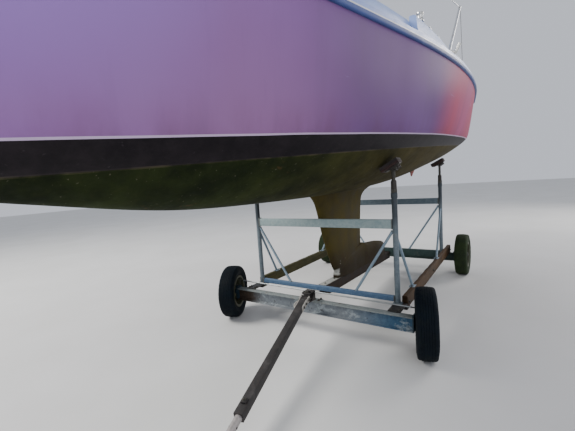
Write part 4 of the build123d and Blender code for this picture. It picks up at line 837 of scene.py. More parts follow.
def build_hull():
    rows = []
    for r in HROWS:
        left = r[::-1] * [-1, 1, 1]
        rows.append(np.concatenate([left, r[1:]]))
    # transom: a rounded corner, then a flat raked panel
    last = rows[-1]
    cen = np.array([0.0, 0.0, 0.0])
    n = len(last)
    extra = []
    nrm = np.array([0.0, 1.0, -RAKE]) / sqrt(1 + RAKE ** 2)
    rows[-1] = last - nrm * 14
    for ang in (30, 60, 90):
        a = radians(ang)
        q = last.copy()
        ctr = np.array([0, last[:, 1].mean(), 2150.0])
        d = q - ctr
        d[:, 1] = 0
        ln = np.linalg.norm(d, axis=1, keepdims=True)
        q = q - d / ln * 14 * (1 - cos(a)) - nrm * 14 * (1 - sin(a))
        extra.append(q)
    rows += extra
    b = Bits()
    verts = [tuple(p) for r in rows for p in r]
    faces = grid_faces(len(rows), n, False, 0, True)
    b.raw(verts, faces, "hull")
    # transom panel between the two halves
    edge = rows[-1]
    half = NSEC
    cols = 13
    tv = []
    for j in range(half):
        L, R = edge[half - 1 - j], edge[half - 1 + j]
        for k in range(cols):
            f = k / (cols - 1)
            tv.append(tuple(L + (R - L) * f))
    b.raw(tv, grid_faces(half, cols, False, 0, True), "hull")
    o = b.make("hull_shell", 30, ROOT, "hull", "hull_gelcoat", weld=True)
    return o


hull_obj = build_hull()
bm = bmesh.new(); bm.from_mesh(hull_obj.data); bmesh.ops.recalc_face_normals(bm, faces=bm.faces); bm.to_mesh(hull_obj.data); bm.free()

# ====================================================================== wheels
def frame_matrix(origin, x_dir, z_dir):
    x, z = Vector(x_dir).normalized(), Vector(z_dir).normalized()
    y = z.cross(x)
    return Matrix.Translation(Vector(origin)) @ Matrix((x, y, z)).transposed().to_4x4()


def at(m, *p):
    return tuple(m @ Vector(p))


def tyre_mesh():
    """Worn road tyre: ribs, cross cuts at the shoulders, ridged side walls. Axis X."""
    w, R = 82.5, 290.0
    side = [(60, 168.6), (63, 171), (64.5, 178), (66, 184), (70, 190), (73.5, 197), (74.5, 199), (77.5, 205), (79.8, 214), (81.4, 222),
            (82.4, 224), (82.6, 236), (81.2, 238), (80.2, 248), (77.8, 259), (76.2, 262), (77.0, 264), (75.2, 272), (72.0, 277.5), (67.5, 281.5)]
    tread = []
    for c in (-45, -27, -9, 9, 27, 45):
        for dx, dr in ((-2.8, 0.0), (-1.8, -4.5), (1.8, -4.5), (2.8, 0.0)):
            tread.append((c + dx, dr))
    def crown(x):
        return R - 5.2 * (abs(x) / 62.0) ** 2.4
    prof = [(x, r, "side") for x, r in side]
    prof += [(x, crown(x) + dr, "tread") for x, dr in sorted(tread + [(62, 0.0), (-62, 0.0)], key=lambda q: -q[0])]
    prof += [(-x, r, "side") for x, r in reversed(side)]
    n, seg = len(prof), 216
    b = Bits()
    verts, faces = [], []
    for i in range(seg):
        a = 2 * pi * i / seg
        for x, r, kind in prof:
            rr = r
            if kind == "tread" and r > crown(x) - 1.0:
                ph = i + (2 if x > 0 else 0)
                if abs(x) > 49 and ph % 6 == 0:
                    rr = r - 5.0
                elif 29 < abs(x) < 44 and (ph + 3) % 9 == 0:
                    rr = r - 3.0
            elif kind == "side" and r > 270 and (i + (2 if x > 0 else 0)) % 6 == 0:
                rr = r - 2.4
            verts.append((x, rr * cos(a), rr * sin(a)))
    for i in range(seg):
        k = (i + 1) % seg
        for j in range(n - 1):
            faces.append((i * n + j, i * n + j + 1, k * n + j + 1, k * n + j))
    b.raw(verts, faces, "tyre")
    # inner face against the rim, so the tyre is closed
    b.revolve([(168.6, 60.0), (168.4, 0.0), (168.6, -60.0)], (0, 0, 0), (1, 0, 0), "tyre", 72)
    # short raised bars on both side walls, where lettering would be
    for s in (-1, 1):
        for k in range(40):
            if k % 10 in (4, 9):
                continue
            a = 2 * pi * k / 40
            c, d = cos(a), sin(a)
            t = (-d, c)
            pts = []
            for rr, ww in ((226.5, -2.2), (226.5, 2.2), (233.5, 2.2), (233.5, -2.2)):
                pts.append((rr * c + ww * t[0], rr * d + ww * t[1]))
            q = [(s * 82.2, y, z) for y, z in pts] + [(s * 83.2, y, z) for y, z in pts]
            b.raw(q, [(0, 1, 2, 3), (4, 7, 6, 5), (0, 4, 5, 1), (1, 5, 6, 2), (2, 6, 7, 3), (3, 7, 4, 0)], "tyre")
    return b


def rim_mesh():
    """Pressed steel wheel; outboard is +x."""
    b = Bits()
    barrel = [(155, -70), (160, -73), (177, -73.5), (179, -72), (178.5, -69), (170, -66.5), (167.6, -62), (166.5, -30), (163, -22), (148, -16), (146, -8),
              (146, 10), (148, 18), (163, 24), (166.5, 32), (167.6, 62), (170, 66.5), (178.5, 69), (179, 72), (177, 73.5), (160, 73), (156, 70),
              (154, 64), (153, 40), (143, 26), (141, 14), (141, -8), (143, -18), (153, -30), (153, -62)]
    b.revolve(barrel, (0, 0, 0), (1, 0, 0), "wheel", 96, closed=True)
    disc = [(141.5, 10), (141.5, 30), (136, 34), (129, 33), (121, 27), (112, 24), (101, 25), (94, 28), (86, 29), (72, 27), (66, 22), (60, 20), (54, 22), (46, 27), (33, 28),
            (32.5, 20), (46, 18), (54, 14), (60, 12), (66, 14), (74, 20), (90, 22), (102, 18), (114, 17), (124, 20), (133, 25), (136, 20), (136, 10)]
    o = Bits()
    o.revolve(disc, (0, 0, 0), (1, 0, 0), "wheel", 96, closed=True)
    me = bpy.data.meshes.new("disc")
    me.from_pydata([Vector(p) / 1000 for p in o.v], [], o.f)
    d = new_obj("disc", me)
    bm = bmesh.new(); bm.from_mesh(me); bmesh.ops.recalc_face_normals(bm, faces=bm.faces); bm.to_mesh(me); bm.free()
    holes = []
    for k in range(10):
        a = 2 * pi * (k + 0.5) / 10
        hm = bmesh.new()
        bmesh.ops.create_cone(hm, cap_ends=True, segments=24, radius1=0.0105, radius2=0.0105, depth=0.08)
        mt = Matrix.Rotation(a, 4, "X") @ Matrix.Translation((0.022, 0, 0.1135)) @ Matrix.Rotation(pi / 2, 4, "Y") @ Matrix.Diagonal((1.0, 1.35, 1.0, 1.0))
        hm.transform(mt)
        cm = bpy.data.meshes.new("hole"); hm.to_mesh(cm); hm.free()
        holes.append(new_obj("hole", cm))
    cut(d, holes)
    b.raw([tuple(v.co * 1000) for v in d.data.vertices], [tuple(p.vertices) for p in d.data.polygons], "wheel")
    me = d.data
    bpy.data.objects.remove(d); bpy.data.meshes.remove(me)
    # hub, cap and wheel nuts, valve
    b.revolve([(0, 70), (18, 70), (27, 66), (30, 58), (31, 30), (33, 28), (44, 26)], (0, 0, 0), (1, 0, 0), "wheel_dark", 40)
    b.revolve([(44, 26), (44, 10), (38, 4), (37, -12), (35, -14), (20.6, -14)], (0, 0, 0), (1, 0, 0), "wheel_dark", 40)
    for k in range(4):
        a = 2 * pi * k / 4 + 0.4
        p = (27.5, 49 * cos(a), 49 * sin(a))
        b.cyl((20, p[1], p[2]), (29, p[1], p[2]), 12.5, "wheel_dark", 20, 1.0)
        b.bolt((27.5, p[1], p[2]), (1, 0, 0), "wheel_dark", 17, 14, False, 3)
    b.cyl((45, 0, 147), (62, 0, 140), 4.2, "black", 12, 1.0)
    b.cyl((60, 0, 141), (66, 0, 138.5), 3.2, "black", 12, 0.8)
    return b


def put_mesh(bits, name, mt, body, replaces, slot, angle=32):
    """The bits, drawn round their own origin in millimetres, set down by mt."""
    vv = bits.v
    bits.v = [tuple((mt @ Vector(p))) for p in vv]
    o = bits.make(name, angle, body, replaces, slot)
    bits.v = vv
    return o


KP = (1000.0, -190.0)
OFFSET = 50.0
STEER = {"port": radians(14.6), "starboard": radians(23.1)}
WHEELS = {}
for nm, s in (("port", 1), ("starboard", -1)):
    a = STEER[nm]
    WHEELS["front_" + nm] = (s * KP[0] + s * OFFSET * cos(a), KP[1] + s * OFFSET * sin(a), a + (0 if s > 0 else pi))
    WHEELS["rear_" + nm] = (1014.0 if s > 0 else -1145.0, 2395.0, 0 if s > 0 else pi)
TYRE_BITS, RIM_BITS = tyre_mesh(), rim_mesh()
for k, (nm, (x, y, turn)) in enumerate(WHEELS.items()):
    mt = Matrix.Translation((x, y, 290.0)) @ Matrix.Rotation(turn, 4, "Z") @ Matrix.Rotation(0.7 * k, 4, "X")
    put_mesh(TYRE_BITS, "tyre_" + nm + "_look", mt, "wheel_" + nm, "tyre_" + nm, "tyre")
    put_mesh(RIM_BITS, "wheel_" + nm + "_look", mt, "wheel_" + nm, "wheel_" + nm, "wheel_steel")

# ====================================================================== cradle
def weld_ring(b, center, axis, r, key="weld", w=5.0, seg=28):
    """A lumpy bead of weld round a bar."""
    prof = [(r - 1.0, -w * 0.6), (r + w * 0.5, -w * 0.35), (r + w * 0.75, 0.2 * w), (r - 1.0, w * 0.9)]
    b.revolve(prof, center, axis, key, seg)


def ibeam(b, x0, x1, yc, z0, z1, w, web, top, tf=9.0, tw=7.0):
    b.box(x0, x1, yc - w / 2, yc + w / 2, z0, z0 + tf, web, 1.5)
    b.box(x0, x1, yc - w / 2, yc + w / 2, z1 - tf, z1, top, 1.5)
    b.box(x0, x1, yc - tw / 2, yc + tw / 2, z0 + tf - 1, z1 - tf + 1, web, 0)
    for zz, s in ((z0 + tf, 1), (z1 - tf, -1)):
        for q in (-1, 1):
            yy = yc + q * tw / 2
            b.raw([(x0, yy, zz), (x1, yy, zz), (x1, yy + q * 5, zz), (x0, yy + q * 5, zz), (x0, yy, zz + s * 5), (x1, yy, zz + s * 5)],
                  [(2, 3, 4, 5), (0, 3, 4), (1, 2, 5)], web)


b = Bits()
ibeam(b, -968, 968, -209, 213, 340, 74, "axle", "axle_top")
for s in (-1, 1):
    b.box(s * 956, s * 968, -246, -165, 213, 356, "axle_end", 2)
    for z0, z1 in ((222, 236), (344, 356)):
        b.box(s * 962, s * 1000, -215, -165, z0, z1, "axle_end", 2)
        b.cyl((s * 1000, -190, z0), (s * 1000, -190, z1), 25, "axle_end", 36, 1.5)
    b.cyl((s * 1000, -190, 218), (s * 1000, -190, 361), 9, "screw", 20, 1.5)
    b.bolt((s * 1000, -190, 356), (0, 0, 1), "screw", 19, 7)
    b.cyl((s * 1000, -190, 366), (s * 1000, -190, 374), 3, "screw", 10, 1)
    b.bolt((s * 1000, -190, 222), (0, 0, -1), "screw", 19, 6)
b.make("front_axle_beam", 35, ROOT, "front_axle", "worn_galvanised")

b = Bits()
ibeam(b, -1037, 906, 2395, 190, 300, 74, "rear_axle", "rear_axle")
for s, e in ((-1, 1037), (1, 906)):
    b.box(s * (e - 12), s * e, 2358, 2432, 190, 324, "rear_axle", 2)
    b.cyl((s * (e - 6), 2395, 290), (s * (e + 14), 2395, 290), 32, "rear_axle", 32, 2)
    b.cyl((s * (e + 12), 2395, 290), (s * (e + 168), 2395, 290), 19.9, "screw", 24, 1.5)
    weld_ring(b, (s * e, 2395, 290), (s, 0, 0), 32)
b.make("rear_axle_beam", 35, ROOT, "rear_axle", "worn_galvanised")

ARM_A = radians(17.0)
for nm, s, zt in (("port", 1, 378.0), ("starboard", -1, 395.0)):
    b = Bits()
    a = STEER[nm]
    k = Vector((s * 1000, -190, 0))
    u = Vector((s * cos(a), s * sin(a), 0))
    b.revolve([(9.2, -53), (20, -53), (22, -51), (22, -44), (20.5, -42), (20.5, 42), (22, 44), (22, 51), (20, 53), (9.2, 53)], (k.x, k.y, 290), (0, 0, 1), "axle_end", 36, True)
    p0, p1 = k + u * 18 + Vector((0, 0, 290)), k + u * 110 + Vector((0, 0, 290))
    b.cyl(p0, k + u * 33 + Vector((0, 0, 290)), 27, "axle_end", 28, 3, 24)
    b.cyl(k + u * 31 + Vector((0, 0, 290)), p1, 19.9, "screw", 24, 1.5)
    pin = Vector((k.x - 80 * sin(ARM_A), k.y + 80 * cos(ARM_A), 0))
    b.beam((k.x - 16 * sin(ARM_A), k.y + 16 * cos(ARM_A), 328), (pin.x, pin.y, 328), 26, 12, "axle_end", 2)
    b.cyl((pin.x, pin.y, 322), (pin.x, pin.y, 334), 13.4, "axle_end", 24, 1.5)
    b.cyl((pin.x, pin.y, 330), (pin.x, pin.y, zt + 14), 4.9, "screw", 16, 1)
    b.bolt((pin.x, pin.y, zt + 8.6), (0, 0, 1), "screw", 13, 5)
    b.bolt((pin.x, pin.y, 322), (0, 0, -1), "screw", 13, 6)
    b.make("knuckle_front_" + nm + "_look", 35, "knuckle_front_" + nm, "knuckle_front_" + nm, "worn_galvanised")
b = Bits()
pins = [Vector((s * 1000 - 80 * sin(ARM_A), -190 + 80 * cos(ARM_A), z)) for s, z in ((-1, 395.0), (1, 378.0))]
al = (pins[1] - pins[0]).normalized()
b.cyl(pins[0] + al * 60, pins[1] - al * 60, 7.0, "tie_bright", 20, 1)
for p, d in ((pins[0], al), (pins[1], -al)):
    b.cyl(p + d * 10, p + d * 62, 5.5, "screw", 18, 1)
    b.cyl(p + d * 56, p + d * 66, 9.0, "tie_bright", 6, 1)
    b.revolve([(5.2, -8), (11.5, -8), (13, -6), (13, 6), (11.5, 8), (5.2, 8)], p, (0, 0, 1), "screw", 32, True)
b.make("tie_rod_look", 35, "tie_rod", "tie_rod", "worn_galvanised")

b = Bits()
for s in (-1, 1):
    b.box(s * 740, s * 850, -191, 27, 341, 350, "plate", 1.5)
    b.box(s * 800, s * 850, 19, 27, 291, 350, "plate", 1.5)
    b.box(s * 800, s * 850, 19, 120, 291, 300, "plate", 1.5)
    for yy in (-166, -134):
        for xx in (757, 833):
            b.bolt((s * xx, yy, 350), (0, 0, 1), "screw", 17, 8, True, 6)
b.make("front_base_plates_look", 35, ROOT, "front_base_plates", "worn_galvanised")

b = Bits()
for yf, z0, z1 in ((0, 1027, 1110), (2136, 1052, 1134)):
    b.box(-750, 750, yf - 16, yf + 16, z0, z1, "rail" if yf < 1 else "rail_rear", 3, 3)
    for s in (-1, 1):
        b.box(s * 742, s * 752, yf - 18, yf + 18, z0 - 3, z1 + 3, "weld", 4, 2)
b.make("upper_rails_look", 35, ROOT, "upper_rails", "worn_galvanised")
b = Bits()
b.box(-750, 750, -22.5, 22.5, 370, 415, "lower_rail", 4, 3)
b.box(-750, 750, 2106, 2166, 288, 383, "lower_rear", 5, 3)
for s in (-1, 1):
    b.box(s * 742, s * 752, -24.5, 24.5, 367, 418, "weld", 4, 2)
    b.box(s * 742, s * 752, 2104, 2168, 286, 385, "weld", 4, 2)
b.make("lower_rails_look", 35, ROOT, "lower_rails", "worn_galvanised")

SCREW_ROWS = ((0.0, 350.2, 1546.0), (2136.0, 300.0, 1590.0))
posts, jacks = Bits(), Bits()
for yf, zb, zt in SCREW_ROWS:
    for s in (-1, 1):
        x = s * 775
        posts.revolve([(21, zb), (24.5, zb), (24.5, 1341), (23.5, 1345), (21.2, 1345), (21, 1300)], (x, yf, 0), (0, 0, 1), "post", 40)
        posts.revolve([(24.4, 1296), (28.5, 1299), (28.5, 1341), (24.4, 1344)], (x, yf, 0), (0, 0, 1), "post", 40)
        weld_ring(posts, (x, yf, zb + 4), (0, 0, 1), 24.5)
        posts.box(x - 38, x + 38, yf - 34, yf + 34, zb, zb + 7, "post", 2)
        z = 1379.5
        jacks.revolve([(16.9, 1345.2), (28, 1345.2), (30, 1348), (30, 1371), (28, 1375), (16.0, 1375.2)], (x, yf, 0), (0, 0, 1), "screw", 6, start=0.3)
        jacks.revolve([(17.2, 1374), (25, 1374), (25, 1438), (23, 1446), (18.5, 1455), (16.8, 1455)], (x, yf, 0), (0, 0, 1), "post_dark", 32)
        pitch = 8.0
        prof = []
        while z + pitch < zt - 8:
            prof += [(14.6, z), (14.6, z + pitch * 0.25), (17.0, z + pitch * 0.45), (17.0, z + pitch * 0.75)]
            z += pitch
        prof += [(14.6, z), (14.6, zt - 8)]
        jacks.revolve(prof, (x, yf, 0), (0, 0, 1), "screw", 24)
        jacks.box(x - 34, x + 34, yf - 30, yf + 30, zt - 8, zt, "post_dark", 2)
        for q in (-1, 1):
            jacks.bolt((x + q * 24, yf + 20, zt - 8), (0, 0, -1), "screw", 10, 5, False)
posts.make("posts_look", 35, ROOT, "posts", "worn_galvanised")


def hull_z(x, y):
    """Height of the hull's outside under the point (x, y), in the tables' frame."""
    i = int(np.clip(np.searchsorted(rows_y, y), 1, len(rows_y) - 1))
    t = (y - rows_y[i - 1]) / (rows_y[i] - rows_y[i - 1])
    za = np.interp(abs(x), HROWS[i - 1][:, 0], HROWS[i - 1][:, 2])
    zb = np.interp(abs(x), HROWS[i][:, 0], HROWS[i][:, 2])
    return float(za + (zb - za) * t)


pads = Bits()
for (yf, zb, zt), zc, tilt in zip(SCREW_ROWS, (1610.0, 1652.0), (30.0, 27.0)):
    for s in (-1, 1):
        mt = Matrix.Translation((s * 775, yf, zc)) @ Matrix.Rotation(-s * radians(tilt), 4, "Y")
        pa, pb = sorted((-s * 118, s * 54))
        pads.box(pa + 1, pb - 1, -61, 61, -36, -14, "pad_board", 2.5, 2, mt)
        # rubber sheet pressed against the hull
        n = 13
        top, low = [], []
        for i in range(n):
            for j in range(n):
                lx, ly = pa + 1 + 170 * i / (n - 1), -61 + 122 * j / (n - 1)
                p = mt @ Vector((lx, ly, -14))
                up = (mt.to_3x3() @ Vector((0, 0, 1)))
                h = 0.0
                for _ in range(6):
                    q = p + up * h
                    h = max(2.0, min(24.0, h + (hull_z(q.x, q.y) - 1.5 - q.z) * up.z))
                edge = 2.0 if i in (0, n - 1) or j in (0, n - 1) else 0.0
                top.append(tuple(p + up * max(1.0, h - edge)))
                low.append(tuple(p))
        pads.raw(top, grid_faces(n, n), "pad")
        pads.raw(low, grid_faces(n, n, flip=True), "pad")
        ring = [i * n for i in range(n)] + [(n - 1) * n + j for j in range(1, n)] + [i * n + n - 1 for i in range(n - 2, -1, -1)] + [j for j in range(n - 2, 0, -1)]
        m2 = len(ring)
        pads.raw([top[k] for k in ring] + [low[k] for k in ring], [(k, (k + 1) % m2, m2 + (k + 1) % m2, m2 + k) for k in range(m2)], "pad")
        for q in (-1, 1):
            for r in (-1, 1):
                pads.bolt(at(mt, -s * 32 + q * 62, r * 24, -36), mt.to_3x3() @ Vector((0, 0, -1)), "screw", 13, 6)
        jacks.box(-s * 24 - 70, -s * 24 + 70, -35, 35, -44.4, -36.4, "post_dark", 1.5, 2, mt)
        for r in (-1, 1):
            jacks.box(-30, 30, r * 26 - 4, r * 26 + 4, -74, -44, "post_dark", 2, 2, mt)
            jacks.bolt(at(mt, 0, r * 30, -62), (0, r, 0), "screw", 17, 8, True, 4)
pads.make("support_pads_look", 35, ROOT, "support_pads", "pad_rubber")
jacks.make("screw_jacks_look", 32, ROOT, "screw_jacks", "worn_galvanised")

b = Bits()


def brace(b, p0, p1, r=13.0):
    a, c = Vector(p0), Vector(p1)
    d = (c - a).normalized()
    b.cyl(a, c, r, "brace", 24, 0)
    weld_ring(b, a + d * 6, d, r, "weld", 5)
    weld_ring(b, c - d * 5, -d, r, "weld", 5)


for yf, z1, z0, xi, rt in ((0.0, 1010.0, 415.5, 375.0, 0), (2136.0, 1030.0, 383.5, 330.0, 0)):
    for s in (-1, 1):
        a, c = Vector((s * 756, yf, z1 + 5)), Vector((s * xi, yf, z0 - 5))
        d = (c - a).normalized()
        brace(b, a + d * 8, a + d * ((z0 - a.z) / d.z + 8))
for s in (-1, 1):
    xf = s * 819
    for p0, p1 in (((s * 775, 0, 985), (xf, 345, 406)), ((s * 775, 2136, 1005), (xf, 1530, 406))):
        a, c = Vector(p0), Vector(p1)
        d = (c - a).normalized()
        brace(b, a + d * 24, a + d * ((413 - a.z) / d.z))
        b.box(xf - 26, xf + 26, p1[1] - 40, p1[1] + 40, 412.3, 417, "brace", 1.2)
        for q in (-1, 1):
            b.bolt((xf, p1[1] + q * 30, 417), (0, 0, 1), "screw", 13, 6)
b.make("braces_look", 35, ROOT, "braces", "worn_galvanised")


def timber(b, x0, x1, y0, y1, z0, z1, key, seed, wave=2.5, n=60):
    """Sawn timber with slightly uneven faces and rounded arrises."""
    r = random.Random(seed)
    ph = [r.uniform(0, 6.28) for _ in range(8)]
    rings = []
    c = 5.0
    base = [(x0 + c, z0), (x1 - c, z0), (x1, z0 + c), (x1, z0 + (z1 - z0) * 0.5), (x1, z1 - c), (x1 - c, z1), ((x0 + x1) / 2, z1), (x0 + c, z1), (x0, z1 - c), (x0, z0 + (z1 - z0) * 0.5), (x0, z0 + c)]
    for i in range(n):
        y = y0 + (y1 - y0) * i / (n - 1)
        ring = []
        for k, (x, z) in enumerate(base):
            w = wave * (0.6 * sin(y * 0.011 + ph[k % 8]) + 0.4 * sin(y * 0.037 + ph[(k + 3) % 8]))
            cx, cz = (x0 + x1) / 2, (z0 + z1) / 2
            dx, dz = (x - cx) / (x1 - x0) * 2, (z - cz) / (z1 - z0) * 2
            ring.append((x - abs(w) * dx, y, z - abs(w) * dz * (0 if z < z0 + 1 else 1)))
        rings.append(ring)
    b.rings(rings, key)


b = Bits()
for s, key in ((1, "plank_port"), (-1, "plank_star")):
    xa, xb = sorted((s * 800.4, s * 850))
    timber(b, xa, xb, 41, 2439.5, 300.5, 411.5, key, 5 + s)
    for y in (80, 1180, 2380):
        b.bolt((s * 850, y, 352), (s, 0, 0), "screw", 19, 9, True, 5)
b.make("side_planks_look", 40, ROOT, "side_planks", "weathered_timber")

b = Bits()
def bz(y):
    return 420 - 0.0408 * y
rings = []
for y, z0 in ((23.2, 352.0), (40.6, 352.0), (41.6, 316.0), (2105.2, 236.0)):
    zt = bz(y) - 5
    rings.append([(-52.5, y, z0), (46.5, y, z0), (46.5, y, z0 + 8), (46.5, y, zt - 2), (44.5, y, zt), (-50.5, y, zt), (-52.5, y, zt - 2), (-52.5, y, z0 + 8)])
b.rings(rings, "rust_red")
# flanges at the lower edge, and the pale strip let into the top
for y0, y1, key, xa, xb in ((23.2, 640, "strip", -38, 34), (640, 2105, "rust_red", -52.5, 46.5)):
    b.rings([[(xa, y, bz(y) - 6), (xb, y, bz(y) - 6), (xb, y, bz(y) - 0.4), (xa, y, bz(y) - 0.4)] for y in (y0, y1)], key)
for x in (-52.5, 46.5):
    sgn = 1 if x > 0 else -1
    b.rings([[(x - sgn * 2, y, z0), (x + sgn * 4, y, z0), (x + sgn * 4, y, z0 + 9), (x - sgn * 2, y, z0 + 9)] for y, z0 in ((44, 316.5), (2103, 236.5))], "rust_red")
for y in (90, 300, 520):
    b.bolt((-2, y, bz(y) - 0.6), (0, 0, 1), "screw", 15, 5)
b.make("centre_beam_look", 35, ROOT, "centre_beam", "beam_primer")

# ====================================================================== drawbar
YAW = atan2(465.0, 1870.0)
PITCH = atan2(325.0, hypot(465.0, 1870.0))
PIN = Vector((14.0, -363.0, 394.0))
KING = Vector((14.0 - 75 * sin(YAW), -363.0 + 75 * cos(YAW), 394.0))
b = Bits()
b.box(-112, 112, -245, -173, 340.4, 349, "axle_top", 2)
for z0, z1 in ((349, 358), (430, 439)):
    b.box(KING.x - 45, KING.x + 45, KING.y, -201, z0, z1, "drawbar_steel", 1.5)
    b.cyl((KING.x, KING.y, z0), (KING.x, KING.y, z1), 45, "drawbar_steel", 48, 1.5)
b.box(KING.x - 45, KING.x + 45, -217, -201, 349, 439, "drawbar_steel", 2)
b.cyl((KING.x, KING.y, 340), (KING.x, KING.y, 452), 11, "screw", 24, 2)
b.bolt((KING.x, KING.y, 439), (0, 0, 1), "screw", 30, 12)
for sx in (-1, 1):
    for yy in (-232, -186):
        b.bolt((sx * 92, yy, 349), (0, 0, 1), "screw", 19, 10, True, 6)
    b.rings([[(KING.x + sx * 38, -217, 358), (KING.x + sx * 38, -217, 430), (KING.x + sx * 38, -262, 358)], [(KING.x + sx * 44, -217, 358), (KING.x + sx * 44, -217, 430), (KING.x + sx * 44, -262, 358)]], "drawbar_steel")
b.make("drawbar_bracket_look", 35, ROOT, "drawbar_bracket", "worn_galvanised")

BF = frame_matrix(PIN, (cos(YAW), sin(YAW), 0), (0, 0, 1))
b = Bits()
b.revolve([(11.2, -33), (26, -33), (28, -31), (28, 31), (26, 33), (11.2, 33)], at(BF, 0, 75, 0), (0, 0, 1), "drawbar_steel", 36, True)
b.box(-42, 42, 30, 50, -28, 28, "drawbar_steel", 2, 2, BF)
for s in (-1, 1):
    b.box(s * 34.4, s * 42, -24, 46, -27, 27, "drawbar_pale", 3, 3, BF)
    b.bolt(at(BF, s * 42, 0, 0), BF.to_3x3() @ Vector((s, 0, 0)), "screw", 24, 10, True, 5)
b.cyl(at(BF, -44, 0, 0), at(BF, 44, 0, 0), 8.9, "screw", 20, 1)
b.make("drawbar_swivel_look", 35, "drawbar_swivel", "drawbar_swivel", "rusty_steel")

BD = frame_matrix(PIN, (cos(YAW), sin(YAW), 0), (sin(YAW) * cos(PITCH), -cos(YAW) * cos(PITCH), -sin(PITCH)))
b = Bits()
b.cyl(at(BD, -29.8, 0, 0), at(BD, 29.8, 0, 0), 24, "drawbar_steel", 32, 2)
b.box(-29.5, 29.5, -24, 24, 4, 46, "drawbar_steel", 3, 2, BD)
# square tube, open at its outer end
L0, L1 = 34.0, 1335.0
h = 30.0
rc = 5.0
def sq(hh, z, r):
    out = []
    for qx, qy in ((1, 1), (-1, 1), (-1, -1), (1, -1)):
        for k in range(4):
            a = atan2(qy, qx) - pi / 4 + (pi / 2) * k / 3
            out.append(at(BD, qx * (hh - r) + r * cos(a), qy * (hh - r) + r * sin(a), z))
    return out
b.rings([sq(h - 3, L0, rc), sq(h, L0 + 3, rc), sq(h, L1 - 1.5, rc), sq(h - 1.5, L1, rc), sq(h - 4, L1, 2.5), sq(h - 4, L1 - 320, 2.5)], "rust", True, False)
b.raw(sq(h - 3, L0, rc), [tuple(range(16))], "rust")
# cheek plates and bolts near the head; a pale bent strap on its starboard side
for s in (-1, 1):
    b.box(s * 30, s * 35.5, -27, 27, 30, 175, "drawbar_pale", 2, 2, BD)
    for zz in (70, 135):
        b.bolt(at(BD, s * 35.5, 0, zz), BD.to_3x3() @ Vector((s, 0, 0)), "screw", 19, 8, True, 4)
strap = [at(BD, -40 - 26 * sin(t) * 0.9, 14 * cos(t) + 4, 60 + 95 * t / pi) for t in [pi * k / 12 for k in range(13)]]
b.tube(strap, 5.5, "drawbar_pale", 12)
b.bolt(at(BD, -35.5, 18, 52), BD.to_3x3() @ Vector((-1, 0, 0)), "screw", 15, 7)
weld_ring(b, at(BD, 0, 0, 47), BD.to_3x3() @ Vector((0, 0, 1)), 30, "weld", 4)
# clamp bolt that holds the sliding inner bar
b.box(-16, 16, 30, 44, L1 - 110, L1 - 70, "drawbar_steel", 2, 2, BD)
b.bolt(at(BD, 0, 44, L1 - 90), BD.to_3x3() @ Vector((0, 1, 0)), "screw", 19, 12, True, 8)
b.make("drawbar_look", 35, "drawbar", "drawbar", "rusty_steel")

b = Bits()
E = 2262.0
b.cyl(at(BD, 0, 0, 905), at(BD, 0, 0, E - 28), 24, "tube", 36, 2)
b.rings([sq(25.5, L1 - 58, 4), sq(25.5, L1 - 1, 4)], "drawbar_steel")
b.box(-18, 18, -10, 10, E - 62, E - 20, "tube", 3, 2, BD)
b.revolve([(15.2, -11), (32, -11), (34, -8), (34, 8), (32, 11), (15.2, 11)], at(BD, 0, 0, E), BD.to_3x3() @ Vector((0, 1, 0)), "drawbar_steel", 48, True)
weld_ring(b, at(BD, 0, 0, E - 27), BD.to_3x3() @ Vector((0, 0, 1)), 22, "weld", 5)
for k in range(4):
    b.cyl(at(BD, -26, 0, 1400 + 90 * k), at(BD, 26, 0, 1400 + 90 * k), 6.5, "black", 16, 0.5)
b.make("drawbar_extension_look", 35, "drawbar", "drawbar_extension", "worn_galvanised")

# ====================================================================== deck
DECK_T = 25.0
DECK_ROWS = [0] + list(range(2, len(HROWS) - 1, 3)) + [len(HROWS) - 1]


def deck_z(x, y):
    xs, zs = sheer(y)
    t = min(1.0, abs(x) / max(xs, 1.0))
    return zs + DECK_T + 0.055 * xs * (1 - t * t)


def ring_mesh(rings, name="solid", extra=1.0):
    """A closed mesh through rings of points, as a temporary object."""
    b = Bits()
    b.rings(rings, "deck")
    me = bpy.data.meshes.new(name)
    me.from_pydata([P(*p) for p in b.v], [], b.f)
    bm = bmesh.new()
    bm.from_mesh(me)
    bmesh.ops.remove_doubles(bm, verts=bm.verts, dist=1e-6)
    bmesh.ops.recalc_face_normals(bm, faces=bm.faces)
    bm.to_mesh(me)
    bm.free()
    return new_obj(name, me)


def dress(o, name, keys, angle=35, body=ROOT, replaces=()):
    """Materials and smooth shading for a mesh that came out of cut()."""
    o.name = name
    o.data.materials.clear()
    for k in keys:
        o.data.materials.append(MT[k])
    me = o.data
    me.polygons.foreach_set("material_index", [0] * len(me.polygons))
    me.polygons.foreach_set("use_smooth", [True] * len(me.polygons))
    me.set_sharp_from_angle(angle=radians(angle))
    me.update()
    return place(o, body, replaces)


def deck_ring(i):
    xs, y, zs = sheer_x[i], sheer_y[i], sheer_z[i]
    xs = max(xs, 6.0)
    top = []
    for k in range(31):
        t = -1 + 2 * k / 30
        top.append((xs * t, y, zs + DECK_T + 0.055 * xs * (1 - t * t)))
    top[0] = (-(xs - 5), y, zs + DECK_T)
    top[-1] = (xs - 5, y, zs + DECK_T)
    return [(-xs, y, zs - 2), (-xs, y, zs + DECK_T - 6), (-(xs - 1.5), y, zs + DECK_T - 1.5)] + top + [(xs - 1.5, y, zs + DECK_T - 1.5), (xs, y, zs + DECK_T - 6), (xs, y, zs - 2)]


